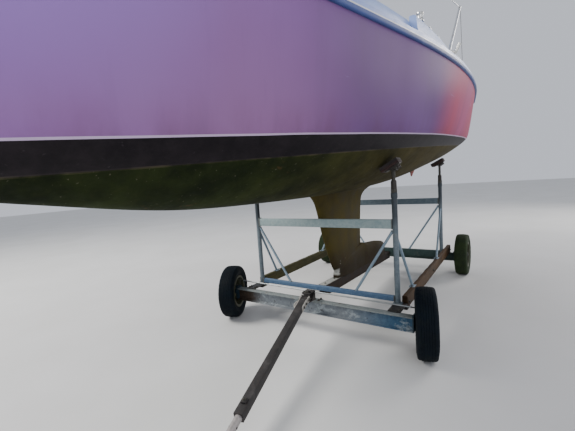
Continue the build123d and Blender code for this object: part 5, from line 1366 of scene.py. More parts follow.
deck_o = ring_mesh([deck_ring(i) for i in DECK_ROWS], "deck_solid")
BERTH_ROWS = ((-1900.0, 300.0), (-1000.0, 520.0), (-200.0, 690.0), (540.0, 790.0))
cabin_cut = ring_mesh([[(-w, y, 2400), (w, y, 2400), (w, y, 2750), (-w, y, 2750)] for y, w in BERTH_ROWS], "cabin_cut")
cut(deck_o, [cabin_cut, cutter_box(-800, 800, 640, 2950, 2300, 2900, 45, 2), cutter_box(-270, 270, 500, 700, 2441, 2900),
             cutter_box(-215, 215, -2730, -2330, 2300, 2800, 25, 2)])
dress(deck_o, "deck_moulding", ["deck"], 32, ROOT, "deck")

b = Bits()


def deck_panel(b, y0, y1, xi, xo, key="nonskid", h=1.6, nu=24, nv=8, zf=deck_z, edge=9.0):
    """A raised non-slip panel between two lines, with cut corners."""
    rings = []
    ys = [y0, y0 + edge] + [y0 + edge + (y1 - y0 - 2 * edge) * i / nu for i in range(1, nu)] + [y1 - edge, y1]
    verts, cols = [], nv + 3
    for i, y in enumerate(ys):
        e = 40.0 * max(0.0, 1 - min(y - y0, y1 - y) / 40.0)
        e = 40.0 - sqrt(max(0.0, 1600.0 - e * e))
        a, c = xi(y) + e, xo(y) - e
        xs = [a, a + 4.0] + [a + 4 + (c - a - 8) * k / nv for k in range(1, nv)] + [c - 4, c]
        for k, x in enumerate(xs):
            out = i in (0, len(ys) - 1) or k in (0, len(xs) - 1)
            verts.append((x, y, zf(x, y) + (-0.8 if out else h)))
    n = len(xs)
    b.raw(verts, grid_faces(len(ys), n), key)
    b.raw([(-x, y, z) for x, y, z in verts], grid_faces(len(ys), n, flip=True), key)


ROOF_X = lambda y: float(np.interp(y, [-2150, -1850, -1000, -200, 580], [262, 385, 585, 752, 882]))
deck_panel(b, -3230, -2810, lambda y: 30.0, lambda y: sheer(y)[0] - 60, nv=5)
deck_panel(b, -2760, -2210, lambda y: 275.0, lambda y: sheer(y)[0] - 62, nv=3)
deck_panel(b, -2160, -1240, lambda y: ROOF_X(y) + 22, lambda y: sheer(y)[0] - 66, nv=4)
deck_panel(b, -1190, -200, lambda y: ROOF_X(y) + 22, lambda y: sheer(y)[0] - 66, nv=4)
deck_panel(b, -150, 560, lambda y: ROOF_X(y) + 22, lambda y: sheer(y)[0] - 66, nv=4)
deck_panel(b, 3080, 3480, lambda y: 30.0, lambda y: sheer(y)[0] - 70, nv=8)
b.make("deck_nonslip", 30, ROOT, (), "deck_gelcoat")

# ---------------------------------------------------------------- coachroof
ROOF = [
    # y, half width at the deck, half width at the top edge, height of top edge, crown height
    (-2150.0, 250.0, 235.0, 2640.0, 2655.0),
    (-1850.0, 345.0, 300.0, 2800.0, 2840.0),
    (-1000.0, 560.0, 505.0, 2915.0, 2980.0),
    ( -200.0, 730.0, 665.0, 2972.0, 3048.0),
    (  580.0, 862.0, 800.0, 2995.0, 3075.0),
]
RY = np.array([r[0] for r in ROOF])
RT = np.array([r[1:] for r in ROOF])
ROOF_Y = np.concatenate([np.linspace(-2150, -1850, 14)[:-1], np.linspace(-1850, 580, 46)])


def roof_half(y, inset=0.0, low=2540.0):
    xb, xt, zt, zc = [float(np.interp(y, RY, RT[:, k])) for k in range(4)]
    if y > -1850:
        xb, xt, zt, zc = [float(v) for v in 0.5 * (np.array([xb, xt, zt, zc]) + spline(RY[1:], RT[1:], np.array([y]))[0])]
    sl = (xb - xt) / max(zt - 2600.0, 60.0)
    pts = np.array([(xb + sl * (2600 - low), low), (xb + sl * 20, 2580.0), (xt, zt), (xt * 0.62, zt + (zc - zt) * 0.78), (xt * 0.3, zt + (zc - zt) * 0.965), (0.0, zc)])
    q = resample(pts, 46)
    full = np.concatenate([q, (q[::-1] * [-1, 1])[1:]])
    full = relax(full, 9)
    h = full[:46]
    h[-1, 0] = 0.0
    if inset:
        t = np.gradient(h, axis=0)
        n = np.stack([-t[:, 1], t[:, 0]], 1)
        n /= np.linalg.norm(n, axis=1, keepdims=True)
        h = h + n * inset
        h[-1, 0] = 0.0
        h[0, 1] = low - 10
    return h


def roof_solid(inset, y_add0=0.0, y_add1=0.0):
    rings = []
    for k, y in enumerate(ROOF_Y):
        h = roof_half(y, inset)
        yy = y + (y_add0 if k == 0 else y_add1 if k == len(ROOF_Y) - 1 else 0.0)
        ring = [(x, yy, z) for x, z in h] + [(-x, yy, z) for x, z in h[::-1][1:]]
        rings.append(ring)
    return ring_mesh(rings, "roof_solid")


roof_o = roof_solid(0.0)
inner_o = roof_solid(23.0, 90.0, -25.0)
WINDOWS = [(-1640.0, -1300.0, 2708.0, 2782.0), (-1200.0, -780.0, 2716.0, 2824.0)]
cuts = [inner_o, cutter_box(-270, 270, 100, 640, 2400, 3200, 18, 2)]
for y0, y1, z0, z1 in WINDOWS:
    cuts.append(cutter_box(-1100, 1100, y0, y1, z0, z1, 32, 0, 6))
cut(roof_o, cuts)
dress(roof_o, "coachroof_moulding", ["roof"], 32, ROOT, "coachroof")


def roof_x(y, z):
    h = roof_half(y)
    return float(np.interp(z, h[:, 1], h[:, 0]))


def roof_z(x, y):
    h = roof_half(y)[::-1]
    return float(np.interp(abs(x), h[:, 0], h[:, 1]))


def round_rect(y0, y1, z0, z1, r, k=7):
    out = []
    for (cy, cz), a0 in zip(((y1 - r, z1 - r), (y0 + r, z1 - r), (y0 + r, z0 + r), (y1 - r, z0 + r)), (0, 90, 180, 270)):
        for i in range(k):
            a = radians(a0 + 90 * i / (k - 1))
            out.append((cy + r * cos(a), cz + r * sin(a)))
    pts = resample(np.array(out + [out[0]]), 73)[:-1]
    return [tuple(p) for p in pts]


panes, frames = Bits(), Bits()
for s in (1, -1):
    for y0, y1, z0, z1 in WINDOWS:
        o = round_rect(y0 + 0.5, y1 - 0.5, z0 + 0.5, z1 - 0.5, 32)
        cy, cz = (y0 + y1) / 2, (z0 + z1) / 2
        for off, flip in ((-9.0, False), (-14.0, True)):
            rings = []
            for f in (1.0, 0.8, 0.55, 0.3, 0.06):
                rings.append([(s * (roof_x(cy + (y - cy) * f, cz + (z - cz) * f) + off), cy + (y - cy) * f, cz + (z - cz) * f) for y, z in o])
            panes.rings(rings, "window", True, False)
            panes.raw(rings[-1], [tuple(range(len(o)))], "window")
        a = [(s * (roof_x(y, z) - 9), y, z) for y, z in o]
        c = [(s * (roof_x(y, z) - 14), y, z) for y, z in o]
        m2 = len(o)
        panes.raw(a + c, [(k, (k + 1) % m2, m2 + (k + 1) % m2, m2 + k) for k in range(m2)], "window")
        # seal and frame round the opening
        prof = ((-16, 6), (3.5, 6), (5.0, 2), (5.0, -13), (3.0, -17), (-0.5, -17), (-0.5, -1), (-16, -1))
        rings = []
        for i, (y, z) in enumerate(o):
            y2, z2 = o[(i + 1) % m2]
            y3, z3 = o[i - 1]
            ty, tz = y2 - y3, z2 - z3
            ln = hypot(ty, tz)
            ny, nz = tz / ln, -ty / ln          # away from the window's middle
            if (y - cy) * ny + (z - cz) * nz < 0:
                ny, nz = -ny, -nz
            rings.append([(s * (roof_x(y - ny * e, z - nz * e) + d), y - ny * e, z - nz * e) for d, e in prof])
        n = len(prof)
        verts = [p for q in rings for p in q]
        frames.raw(verts, [(i * n + j, i * n + (j + 1) % n, ((i + 1) % m2) * n + (j + 1) % n, ((i + 1) % m2) * n + j) for i in range(m2) for j in range(n)], "frame_black")
        for k in range(0, m2, 6):
            y, z = o[k]
            dy, dz = y - cy, z - cz
            ln = hypot(dy, dz)
            yb, zb = y + (8 if dy > 0 else -8) * abs(dy) / ln, z + (8 if dz > 0 else -8) * abs(dz) / ln
            frames.cyl((s * (roof_x(yb, zb) + 3.0), yb, zb), (s * (roof_x(yb, zb) + 6.0), yb, zb), 3.4, "stainless", 10, 0.8)
panes.make("cabin_window_panes", 35, ROOT, "cabin_windows", "window_acrylic")
frames.make("cabin_window_frames", 35, ROOT, (), "window_acrylic")

b = Bits()
deck_panel(b, -1760, -1420, lambda y: 130.0, lambda y: float(np.interp(y, RY, RT[:, 1])) - 75, zf=roof_z, nv=4, nu=10)
deck_panel(b, -1330, -640, lambda y: 60.0, lambda y: float(np.interp(y, RY, RT[:, 1])) - 80, zf=roof_z, nv=6)
deck_panel(b, -560, 540, lambda y: 352.0, lambda y: float(np.interp(y, RY, RT[:, 1])) - 80, zf=roof_z, nv=5)
# moulded hatch box ahead of the slide, mast step and a round vent
b.box(-312, 312, -600, 96, 3030, 3084, "roof", 12, 4)
b.box(-70, 70, -790, -650, roof_z(0, -720) - 6, roof_z(0, -720) + 6, "alloy", 3)
for s in (-1, 1):
    b.box(s * 24 - 4, s * 24 + 4, -760, -680, roof_z(0, -720) + 4, roof_z(0, -720) + 48, "alloy", 3)
    for y in (-775, -665):
        b.bolt((s * 54, y, roof_z(0, -720) + 6), (0, 0, 1), "stainless", 12, 5)
b.cyl((-30, -720, roof_z(0, -720) + 32), (30, -720, roof_z(0, -720) + 32), 5, "stainless", 14, 1)
vz = roof_z(0, -1380)
b.revolve([(95, vz - 8), (95, vz + 8), (88, vz + 12), (66, vz + 13), (62, vz + 24), (80, vz + 27), (82, vz + 33), (60, vz + 42), (0.2, vz + 46)], (0, -1380, 0), (0, 0, 1), "hatch", 48)
b.make("coachroof_fittings", 32, ROOT, (), "deck_gelcoat")

# ---------------------------------------------------------------- coamings
COAMING = [(600.0, 872.0, 2996.0), (1250.0, 945.0, 2990.0), (1850.0, 985.0, 2975.0), (2450.0, 975.0, 2955.0), (3060.0, 905.0, 2930.0)]
CYs = np.array([r[0] for r in COAMING]); CT = np.array([r[1:] for r in COAMING])
b = Bits()
for s in (1, -1):
    rings = []
    for y in np.linspace(583, 3060, 40):
        x, z = [float(v) for v in spline(CYs, CT, np.array([y]))[0]]
        fall = max(0.0, (y - 2900) / 160.0)
        z -= 26 * fall * fall
        base = np.array([(802, 2556), (802, z - 10), (806, z - 3), (814, z), (x - 26, z), (x - 10, z - 5), (x - 2, z - 20), (x + 40, 2566), (x + 40, 2556)], float)
        rings.append([(s * p[0], y, p[1]) for p in base])
    b.rings(rings, "roof")
    # grey grip strip along the top
    b.rings([[(s * 822, y, z - 2), (s * (x - 34), y, z - 2), (s * (x - 36), y, z + 1.6), (s * 824, y, z + 1.6)]
             for y, (x, z) in [(yy, spline(CYs, CT, np.array([yy]))[0]) for yy in np.linspace(900, 2800, 24)]], "nonskid")
b.make("cockpit_coamings", 40, ROOT, "coamings", "deck_gelcoat")

# ---------------------------------------------------------------- cockpit and cabin liners
liner = cutter_box(-815, 815, 590, 2965, 1998, 2600)
cut(liner, [cutter_box(-800, 800, 640, 2950, 2350, 2700, 40, 2), cutter_box(-310, 310, 750, 2700, 2010, 2400, 40, 2),
            cutter_box(400, 740, 1250, 1950, 2070, 2400, 15, 2), cutter_box(-740, -400, 1250, 1950, 2070, 2400, 15, 2),
            cutter_box(-270, 270, 560, 700, 2440, 2700)])
dress(liner, "cockpit_liner", ["deck"], 32, ROOT, ())
b = Bits()
flat = lambda z: (lambda x, y: z)
deck_panel(b, 790, 1190, lambda y: 345.0, lambda y: 740.0, zf=flat(2350.0), nu=8, nv=4)
deck_panel(b, 2010, 2900, lambda y: 345.0, lambda y: 740.0, zf=flat(2350.0), nu=12, nv=4)
# teak grating in the well: battens on cross bars
for k in range(9):
    x = -252 + 63 * k
    b.box(x - 20, x + 20, 790, 2660, 2018, 2030, "teak", 2)
for k in range(7):
    y = 850 + 290 * k
    b.box(-275, 275, y - 18, y + 18, 2010.5, 2018.5, "teak_x", 1.5)
for s in (-1, 1):
    b.revolve([(26, 2010.2), (26, 2012.5), (20, 2013.5), (18, 2011), (0.2, 2011)], (s * 290, 2675, 0), (0, 0, 1), "stainless", 24)
b.make("cockpit_sole", 32, ROOT, (), "deck_gelcoat")

cab = ring_mesh([[(-264, y, 1628), (264, y, 1628), (264, y, 1994), (w + 14, y, 1994), (w + 14, y, 2590), (-w - 14, y, 2590), (-w - 14, y, 1994), (-264, y, 1994)] for y, w in ((-1914.0, 300.0), (-1000.0, 520.0), (-200.0, 690.0), (552.0, 790.0))], "cabin_liner")
berths = ring_mesh([[(-w, y, 2010), (w, y, 2010), (w, y, 2750), (-w, y, 2750)] for y, w in BERTH_ROWS], "berths")
cut(cab, [berths, cutter_box(-250, 250, -1400, 540, 1640, 2100, 20, 2), cutter_box(-270, 270, 520, 700, 2440, 2800)])
dress(cab, "cabin_liner", ["inner"], 32, ROOT, ())
b = Bits()
b.box(-247, 247, -1395, 535, 1640.5, 1648, "teak", 1.5)
for k in range(3):
    b.box(-150, 150, 470 - 60 * k, 534, 1860 + 200 * (2 - k) - 22, 1860 + 200 * (2 - k), "teak_x", 4)
for s in (-1, 1):
    b.box(s * 150, s * 166, 350, 534, 1648, 2290, "teak", 3)
b.make("cabin_sole_and_steps", 32, ROOT, (), "teak")

# ---------------------------------------------------------------- hatches and boards
b = Bits()
rings = []
for y in np.linspace(70, 642, 16):
    top = [(-300 + 600 * k / 14, 3117 + 8 * (1 - (2 * k / 14 - 1) ** 2)) for k in range(15)]
    top[0], top[-1] = (-298, 3114), (298, 3114)
    rings.append([(x, y, z) for x, z in top] + [(300, y, 3110), (300, y, 3086), (286, y, 3086), (286, y, 3106), (-286, y, 3106), (-286, y, 3086), (-300, y, 3086), (-300, y, 3110)])
b.rings(rings, "hatch")
b.box(-299, 299, 624, 641.5, 3066, 3116, "hatch", 5, 3)
b.tube([(-70, 648, 3092), (-70, 662, 3092), (-60, 670, 3092), (60, 670, 3092), (70, 662, 3092), (70, 640, 3092)], 6, "stainless", 14)
deck_panel(b, 120, 600, lambda y: 8.0, lambda y: 262.0, zf=lambda x, y: 3117 + 8 * (1 - (x / 300.0) ** 2), nu=10, nv=5)
b.make("companionway_hatch_look", 35, "companionway_hatch", "companionway_hatch", "hatch_gelcoat")
b = Bits()
for s in (-1, 1):
    xa, xb = sorted((s * 306, s * 334))
    rings = []
    for y in np.linspace(-560, 590, 24):
        zb = min(roof_z(306, y), roof_z(334, y)) - 6
        rings.append([(xa, y, zb), (xb, y, zb), (xb, y, 3094), (xb - 5, y, 3099.5), (xa + 5, y, 3099.5), (xa, y, 3094)])
    b.rings(rings, "teak")
    for y in range(-500, 560, 210):
        b.cyl((s * 320, y, 3098), (s * 320, y, 3100.6), 5, "teak_x", 12, 0.5)
b.make("hatch_runners_look", 35, ROOT, "hatch_runners", "teak")
b = Bits()
for k, z in enumerate((2440.5, 2649, 2857.5)):
    b.box(-269.5, 269.5, 586, 604, z, z + 207.5, "teak_x", 3, 2)
    if k == 2:
        for j in range(4):
            b.box(-120, 120, 603, 607, z + 60 + 26 * j, z + 72 + 26 * j, "black", 2)
        b.box(-26, 26, 603, 609, z + 180, z + 200, "stainless", 2)
for s in (-1, 1):
    xa, xb = sorted((s * 270, s * 292))
    b.box(xa, xb, 577, 616, 2600, 3056, "teak", 3)
    xa, xb = sorted((s * 248, s * 292))
    b.box(xa, xb, 605, 616, 2600, 3056, "teak", 3)
b.make("washboards_look", 35, ROOT, "washboards", "teak")

b = Bits()
for x0, x1, y0, y1 in ((-245, 245, -2770, -2730), (-245, 245, -2330, -2290), (-245, -215, -2732, -2328), (215, 245, -2732, -2328)):
    b.box(x0, x1, y0, y1, 2560, 2680, "hatch", 5, 3)
FA = (-2783.0, 2690.0)
for s in (-1, 1):
    for a, c in ((110, 129), (171, 190)):
        b.cyl((s * a, *FA), (s * c, *FA), 7.5, "stainless", 20, 0.8)
        xa, xb = sorted((s * a, s * c))
        b.box(xa, xb, FA[0] - 7, FA[0] + 7, FA[1] - 35, FA[1], "stainless", 1)
        b.box(xa, xb, FA[0] - 7, -2769, FA[1] - 35, FA[1] - 13, "stainless", 1)
    b.cyl((s * 108, *FA), (s * 192, *FA), 3.4, "stainless", 12, 0.8)
b.make("fore_hatch_coaming_look", 35, ROOT, "fore_hatch_coaming", "deck_gelcoat")
b = Bits()
b.box(-250, 250, -2775, -2285, 2686, 2708, "hatch", 9, 4)
b.box(-205, 205, -2725, -2335, 2700, 2715, "hatch", 8, 3)
deck_panel(b, -2700, -2360, lambda y: 6.0, lambda y: 180.0, zf=flat(2715.0), nu=8, nv=4)
b.box(-246, 246, -2771, -2289, 2681.5, 2687, "frame_black", 2)
for s in (-1, 1):
    b.cyl((s * 130, *FA), (s * 170, *FA), 7.5, "stainless", 20, 0.8)
    xa, xb = sorted((s * 131, s * 169))
    b.box(xa, xb, FA[0], -2740, 2707, 2711, "stainless", 1)
    b.box(xa, xb, FA[0] - 2, -2774, 2691, 2710, "stainless", 1)
b.make("fore_hatch_look", 35, "fore_hatch", "fore_hatch", "hatch_gelcoat")

hb = Bits()
for s, nm in ((1, "port"), (-1, "starboard")):
    b = Bits()
    xa, xb = sorted((s * 375, s * 765))
    b.box(xa, xb, 1225, 1975, 2355.5, 2377.5, "hatch", 5, 3)
    pts = round_rect(1262, 1938, 0, 300, 30)
    m2 = len(pts)
    xo = 420
    up_r = [(s * (xo + z), y, 2379.3) for y, z in round_rect(1268, 1932, 6, 294, 26)]
    lo_r = [(s * (xo + z), y, 2376.8) for y, z in pts]
    b.raw(lo_r + up_r, [(k, (k + 1) % m2, m2 + (k + 1) % m2, m2 + k) for k in range(m2)] + [tuple(range(m2, 2 * m2))], "nonskid")
    b.revolve([(0.2, 2378.2), (13, 2378.2), (15, 2379), (17, 2381.4), (21, 2381.4), (23, 2379.5), (23, 2377)], (s * 400, 1600, 0), (0, 0, 1), "stainless", 24)
    for yh in (1370.0, 1830.0):
        c = (s * 774, yh)
        b.cyl((c[0], yh - 25, 2364), (c[0], yh + 25, 2364), 7, "stainless", 20, 0.6)
        xa, xb = sorted((s * 720, s * 770))
        b.box(xa, xb, yh - 24, yh + 24, 2376.5, 2379.5, "stainless", 1)
        xa, xb = sorted((s * 764, s * 772))
        b.box(xa, xb, yh - 24, yh + 24, 2362, 2379, "stainless", 1)
        for q in (-1, 1):
            hb.cyl((c[0], yh + q * 26, 2364), (c[0], yh + q * 43, 2364), 7, "stainless", 20, 0.6)
            xa, xb = sorted((s * 768, s * 788))
            hb.box(xa, xb, yh + q * 34.5 - 8.5, yh + q * 34.5 + 8.5, 2350.4, 2362, "stainless", 1)
        hb.cyl((c[0], yh - 43, 2364), (c[0], yh + 43, 2364), 3.4, "stainless", 12, 0.6)
    b.make("locker_lid_" + nm + "_look", 35, "locker_lid_" + nm, "locker_lid_" + nm, "hatch_gelcoat")
hb.make("locker_hinges_look", 35, ROOT, "locker_hinges", "stainless")

# ---------------------------------------------------------------- strakes and toe rails
st, toe = Bits(), Bits()
i0 = int(np.searchsorted(rows_y, -3450))
for s in (1, -1):
    ra, rb, rt = [], [], []
    idx = list(range(i0, len(HROWS), 1))
    for i in idx:
        r = HROWS[i]
        x, y, z = sheer_x[i], sheer_y[i], sheer_z[i]
        sl = (x - np.interp(z - 40, r[:, 2], r[:, 0])) / 40.0      # flare of the side here
        taper = min(1.0, 0.35 + (y + 3450) / 260.0)
        prof = [(0.0, 0.0), (10.0, 1.0), (17.0, -2.0), (20.5, -7.0), (21.5, -13.0), (21.5, -26.0), (20.0, -32.0), (16.0, -37.0), (9.0, -40.0), (0.0, -40.0)]
        rk = RAKE if i == len(HROWS) - 1 else 0.0
        ra.append([(s * (x - sl * -d + o * taper + 0.2), y + rk * d, z + d) for o, d in prof])
        rb.append([(s * (x + o * taper), y, z + d) for o, d in ((0.0, 1.2), (0.0, 6.0), (7.0, 6.0), (9.5, 3.5), (9.5, 1.2))])
        zd = z + DECK_T
        rt.append([(s * (x + a), y, zd + c) for a, c in ((-24, -3), (-23.5, 8), (-20, 25), (-16, 30), (-9, 31), (-4, 27), (-2.0, 12), (-1.2, -3))])
    st.rings(ra, "strake")
    st.rings(rb, "strake_line")
    toe.rings(rt, "toe_rail")
st.make("rubbing_strakes_look", 38, ROOT, "rubbing_strakes", "strake_rubber")
toe.make("toe_rails_look", 40, ROOT, "toe_rails", "deck_gelcoat")

# ====================================================================== keel
def fillet_path(pts, r, k=8):
    """Straight runs through pts with round corners of radius r."""
    ps = [Vector(p) for p in pts]
    out = [ps[0]]
    for a, q, c in zip(ps, ps[1:], ps[2:]):
        u, v = (a - q).normalized(), (c - q).normalized()
        half = u.angle(v) / 2
        d = min(r / tan(half), 0.46 * (a - q).length, 0.46 * (c - q).length)
        ctr = q + (u + v).normalized() * (d / cos(half))
        e0, e1 = q + u * d - ctr, q + v * d - ctr
        ax, ang = e0.cross(e1).normalized(), e0.angle(e1)
        out += [ctr + Matrix.Rotation(ang * i / k, 3, ax) @ e0 for i in range(k + 1)]
    return out + [ps[-1]]


def inset(poly, d):
    """An anticlockwise outline moved inwards by d."""
    out, n = [], len(poly)
    for i in range(n):
        a, p, c = Vector(poly[i - 1]), Vector(poly[i]), Vector(poly[(i + 1) % n])
        e, f = (p - a).normalized(), (c - p).normalized()
        ne, nf = Vector((-e.y, e.x)), Vector((-f.y, f.x))
        m2 = ne + nf
        out.append(tuple(p + m2 * (d / max(0.3, 1 + ne.dot(nf)))))
    return out


def round_poly(poly, r, k=5):
    out, n = [], len(poly)
    for i in range(n):
        a, p, c = Vector(poly[i - 1]), Vector(poly[i]), Vector(poly[(i + 1) % n])
        u, v = (a - p), (c - p)
        d = min(r, 0.42 * u.length, 0.42 * v.length)
        q0, q1 = p + u.normalized() * d, p + v.normalized() * d
        for j in range(k + 1):
            t = j / k
            out.append(tuple(q0 * (1 - t) ** 2 + p * 2 * t * (1 - t) + q1 * t * t))
    return out


def slab(b, poly, mt, x0, x1, key, edge=3.0, steps=((1.0, 0.0), (0.3, 0.35), (0.0, 1.0))):
    """A plate of outline poly (local y, z) between x0 and x1, with eased edges."""
    rings = [(x0 + edge * w, d * edge) for d, w in steps] + [(x1 - edge * w, d * edge) for d, w in reversed(steps)]
    b.rings([[at(mt, x, *p) for p in inset(poly, d)] for x, d in rings], key)


KEEL_FIN = [(360.0, 410.0, 1120.0, 52.0), (412.0, 374.0, 1110.0, 55.0), (532.0, 277.0, 1080.0, 56.0), (710.0, 180.0, 1069.0, 58.0), (888.0, 100.0, 1085.0, 62.0),
            (1120.0, 24.0, 1120.0, 68.0), (1257.0, -30.0, 1165.0, 76.0), (1330.0, -95.0, 1300.0, 92.0), (1400.0, -230.0, 1640.0, 120.0), (1470.0, -420.0, 1900.0, 150.0)]
kz = [r[0] for r in KEEL_FIN]
kq = np.concatenate([np.linspace(360, 1200, 44), np.linspace(1210, 1470, 27)])
soft = spline(kz, [r[1:] for r in KEEL_FIN], kq)
hard = np.stack([np.interp(kq, kz, [r[c] for r in KEEL_FIN]) for c in (1, 2, 3)], 1)
kt = 0.6 * soft + 0.4 * hard
ku = 0.5 - 0.5 * np.cos(np.linspace(0, pi, 27))
naca = (0.2969 * np.sqrt(ku) - 0.1260 * ku - 0.3516 * ku ** 2 + 0.2843 * ku ** 3 - 0.1015 * ku ** 4) / 0.1
kf = 0.55 * naca + 0.45 * np.interp(ku, [0, 0.06, 0.28, 0.62, 1.0], [0.02, 0.62, 1.0, 0.86, 0.10])
b = Bits()
rings = []
for z, (y0, y1, t) in zip(kq, kt):
    right = [(t * f, y0 + (y1 - y0) * u) for u, f in zip(ku, kf)]
    left = [(-x, y) for x, y in reversed(right[1:-1])]
    rings.append([(x, y, max(z, 420.6 - 0.0408 * y)) for x, y in right + left])
b.rings(rings, "keel")
foot_top = np.array([(330, 470), (360, 500), (420, 560), (500, 610), (1030, 660), (1110, 664), (1180, 643), (1240, 632), (1330, 622), (1480, 606), (1620, 589), (1780, 560), (1880, 533), (1930, 500), (1956, 465), (1968, 400)], float)
fy = np.concatenate([np.linspace(330, 1900, 56), np.linspace(1908, 1968, 12)])
fz = np.interp(fy, foot_top[:, 0], foot_top[:, 1])
fz[1:-3] = np.convolve(fz, [0.25, 0.5, 0.25], "same")[1:-3]
ft = spline([330.0, 450.0, 800.0, 1400.0, 1800.0, 1968.0], [30.0, 52.0, 60.0, 66.0, 52.0, 14.0], fy)
rings = []
for y, z1, t in zip(fy, fz, ft):
    z0 = 420.6 - 0.0408 * y
    ring = []
    for k in range(25):
        a = pi * k / 24
        ring.append((-t * (1 if cos(a) >= 0 else -1) * abs(cos(a)) ** 0.55, y, z0 + (max(z1, z0 + 8) - z0) * sin(a) ** 0.5))
    rings.append(ring)
b.rings(rings, "keel")
b.make("keel_look", 50, ROOT, "keel", "keel_iron")

# ====================================================================== rudder
RAKE_A = atan2(RAKE, 1.0)
RD = frame_matrix((0, 3490, 1588), (1, 0, 0), (0, sin(RAKE_A), cos(RAKE_A)))
XD = RD.to_3x3() @ Vector((1, 0, 0))
SD = RD.to_3x3() @ Vector((0, 0, 1))
QD = RD.to_3x3() @ Vector((0, 1, 0))
b = Bits()
for sg in (180.0, 900.0):
    plate = round_poly([(-30, sg - 45), (30, sg - 45), (30, sg + 45), (-30, sg + 45)], 9)
    b.rings([[at(RD, x, q, z) for x, z in inset(plate, d)] for q, d in ((-55.0, 0.0), (-51.0, 0.0), (-49.5, 1.4))], "stainless")
    for xx in (-17, 17):
        for zz in (-30, 30):
            b.bolt(at(RD, xx, -49.6, sg + zz), QD, "stainless", 13, 6)
    b.rings([[at(RD, x * w, q, sg + z) for x, z in ((-1, -12), (1, -12), (1, 12), (-1, 12))] for q, w in ((-50, 16), (-30, 11), (-10, 10))], "stainless")
    b.revolve([(9.3, -12), (18.5, -12), (20, -10.5), (20, 10.5), (18.5, 12), (9.3, 12)], at(RD, 0, 0, sg), SD, "stainless", 36, True)
b.make("rudder_gudgeons_look", 35, ROOT, "rudder_gudgeons", "stainless")

b = Bits()
slab(b, round_poly([(28, 214), (190, 214), (190, 960), (150, 1040), (150, 1116), (28, 1116)], 22), RD, -15, 15, "rudder", 5)
cheek = round_poly([(28, -40), (240, -40), (300, 20), (300, 240), (240, 330), (28, 330)], 26)
for x0, x1 in ((-31, -15.2), (15.2, 31)):
    slab(b, cheek, RD, x0, x1, "rudder", 4)
head = round_poly([(28, 1060), (130, 1060), (130, 1225), (28, 1225)], 14)
for x0, x1 in ((-21, -15.6), (15.6, 21)):
    slab(b, head, RD, x0, x1, "stainless", 1.2)
for s in (-1, 1):
    for q, z in ((50, -12), (50, 296), (262, 40), (262, 214), (150, 296), (120, -12)):
        b.cyl(at(RD, s * 31, q, z), at(RD, s * 34, q, z), 9, "stainless", 20, 1.4)
    for q, z in ((44, 1078), (112, 1078), (44, 1208)):
        b.cyl(at(RD, s * 21, q, z), at(RD, s * 24, q, z), 6, "stainless", 18, 1.2)
    b.bolt(at(RD, s * 31, 215, 60), XD * s, "stainless", 22, 8)
    b.bolt(at(RD, s * 21, 92, 1180), XD * s, "stainless", 17, 5)
b.cyl(at(RD, -30, 215, 60), at(RD, 30, 215, 60), 7.9, "stainless", 24, 0)
b.cyl(at(RD, -20.5, 92, 1180), at(RD, 20.5, 92, 1180), 5.9, "stainless", 20, 0)
for sg in (180.0, 900.0):
    for z0, z1 in ((sg + 14, sg + 24), (sg - 24, sg - 14)):
        b.box(-17, 17, -10, 44, z0, z1, "stainless", 2, 2, RD)
    for s in (-1, 1):
        b.box(s * 15.1, s * 18.4, 28, 176 if sg > 400 else 26.5, sg - 24, sg + 24, "stainless", 1.2, 2, RD) if sg > 400 else None
        if sg > 400:
            for q in (62, 104, 150):
                b.cyl(at(RD, s * 18.4, q, sg), at(RD, s * 21, q, sg), 6.5, "stainless", 18, 1.2)
    b.cyl(at(RD, 0, 0, sg - 26), at(RD, 0, 0, sg + 26), 8.9, "stainless", 24, 1)
    b.bolt(at(RD, 0, 0, sg + 24), SD, "stainless", 15, 5, False)
b.make("rudder_stock_look", 35, "rudder", "rudder_stock", "rudder_primer")

b = Bits()
BL = RD @ Matrix.Translation((0, 215, 60)) @ Matrix.Rotation(radians(125.0), 4, "X")
blade = round_poly([(-110, -985), (10, -985), (60, -930), (85, -700), (85, 60), (60, 88), (-140, 88), (-175, 60), (-175, -700), (-160, -930)], 30, 6)
b.rings([[at(BL, x, *p) for p in inset(blade, d)] for x, d in ((-12, 30), (-11.2, 16), (-8.5, 6), (-4.0, 1.2), (0, 0), (4.0, 1.2), (8.5, 6), (11.2, 16), (12, 30))], "rudder")
for s in (-1, 1):
    b.revolve([(9, s * 12.0), (22, s * 12.0), (23.5, s * 13.0), (23.5, s * 14.4), (9, s * 14.4)], at(BL, 0, 0, 0), BL.to_3x3() @ Vector((1, 0, 0)), "stainless", 36, True)
    b.cyl(at(BL, s * 11.5, -120, 40), at(BL, s * 13.5, -120, 40), 7, "stainless", 18, 0.8)
b.make("rudder_blade_look", 50, "rudder_blade", "rudder_blade", "rudder_primer")

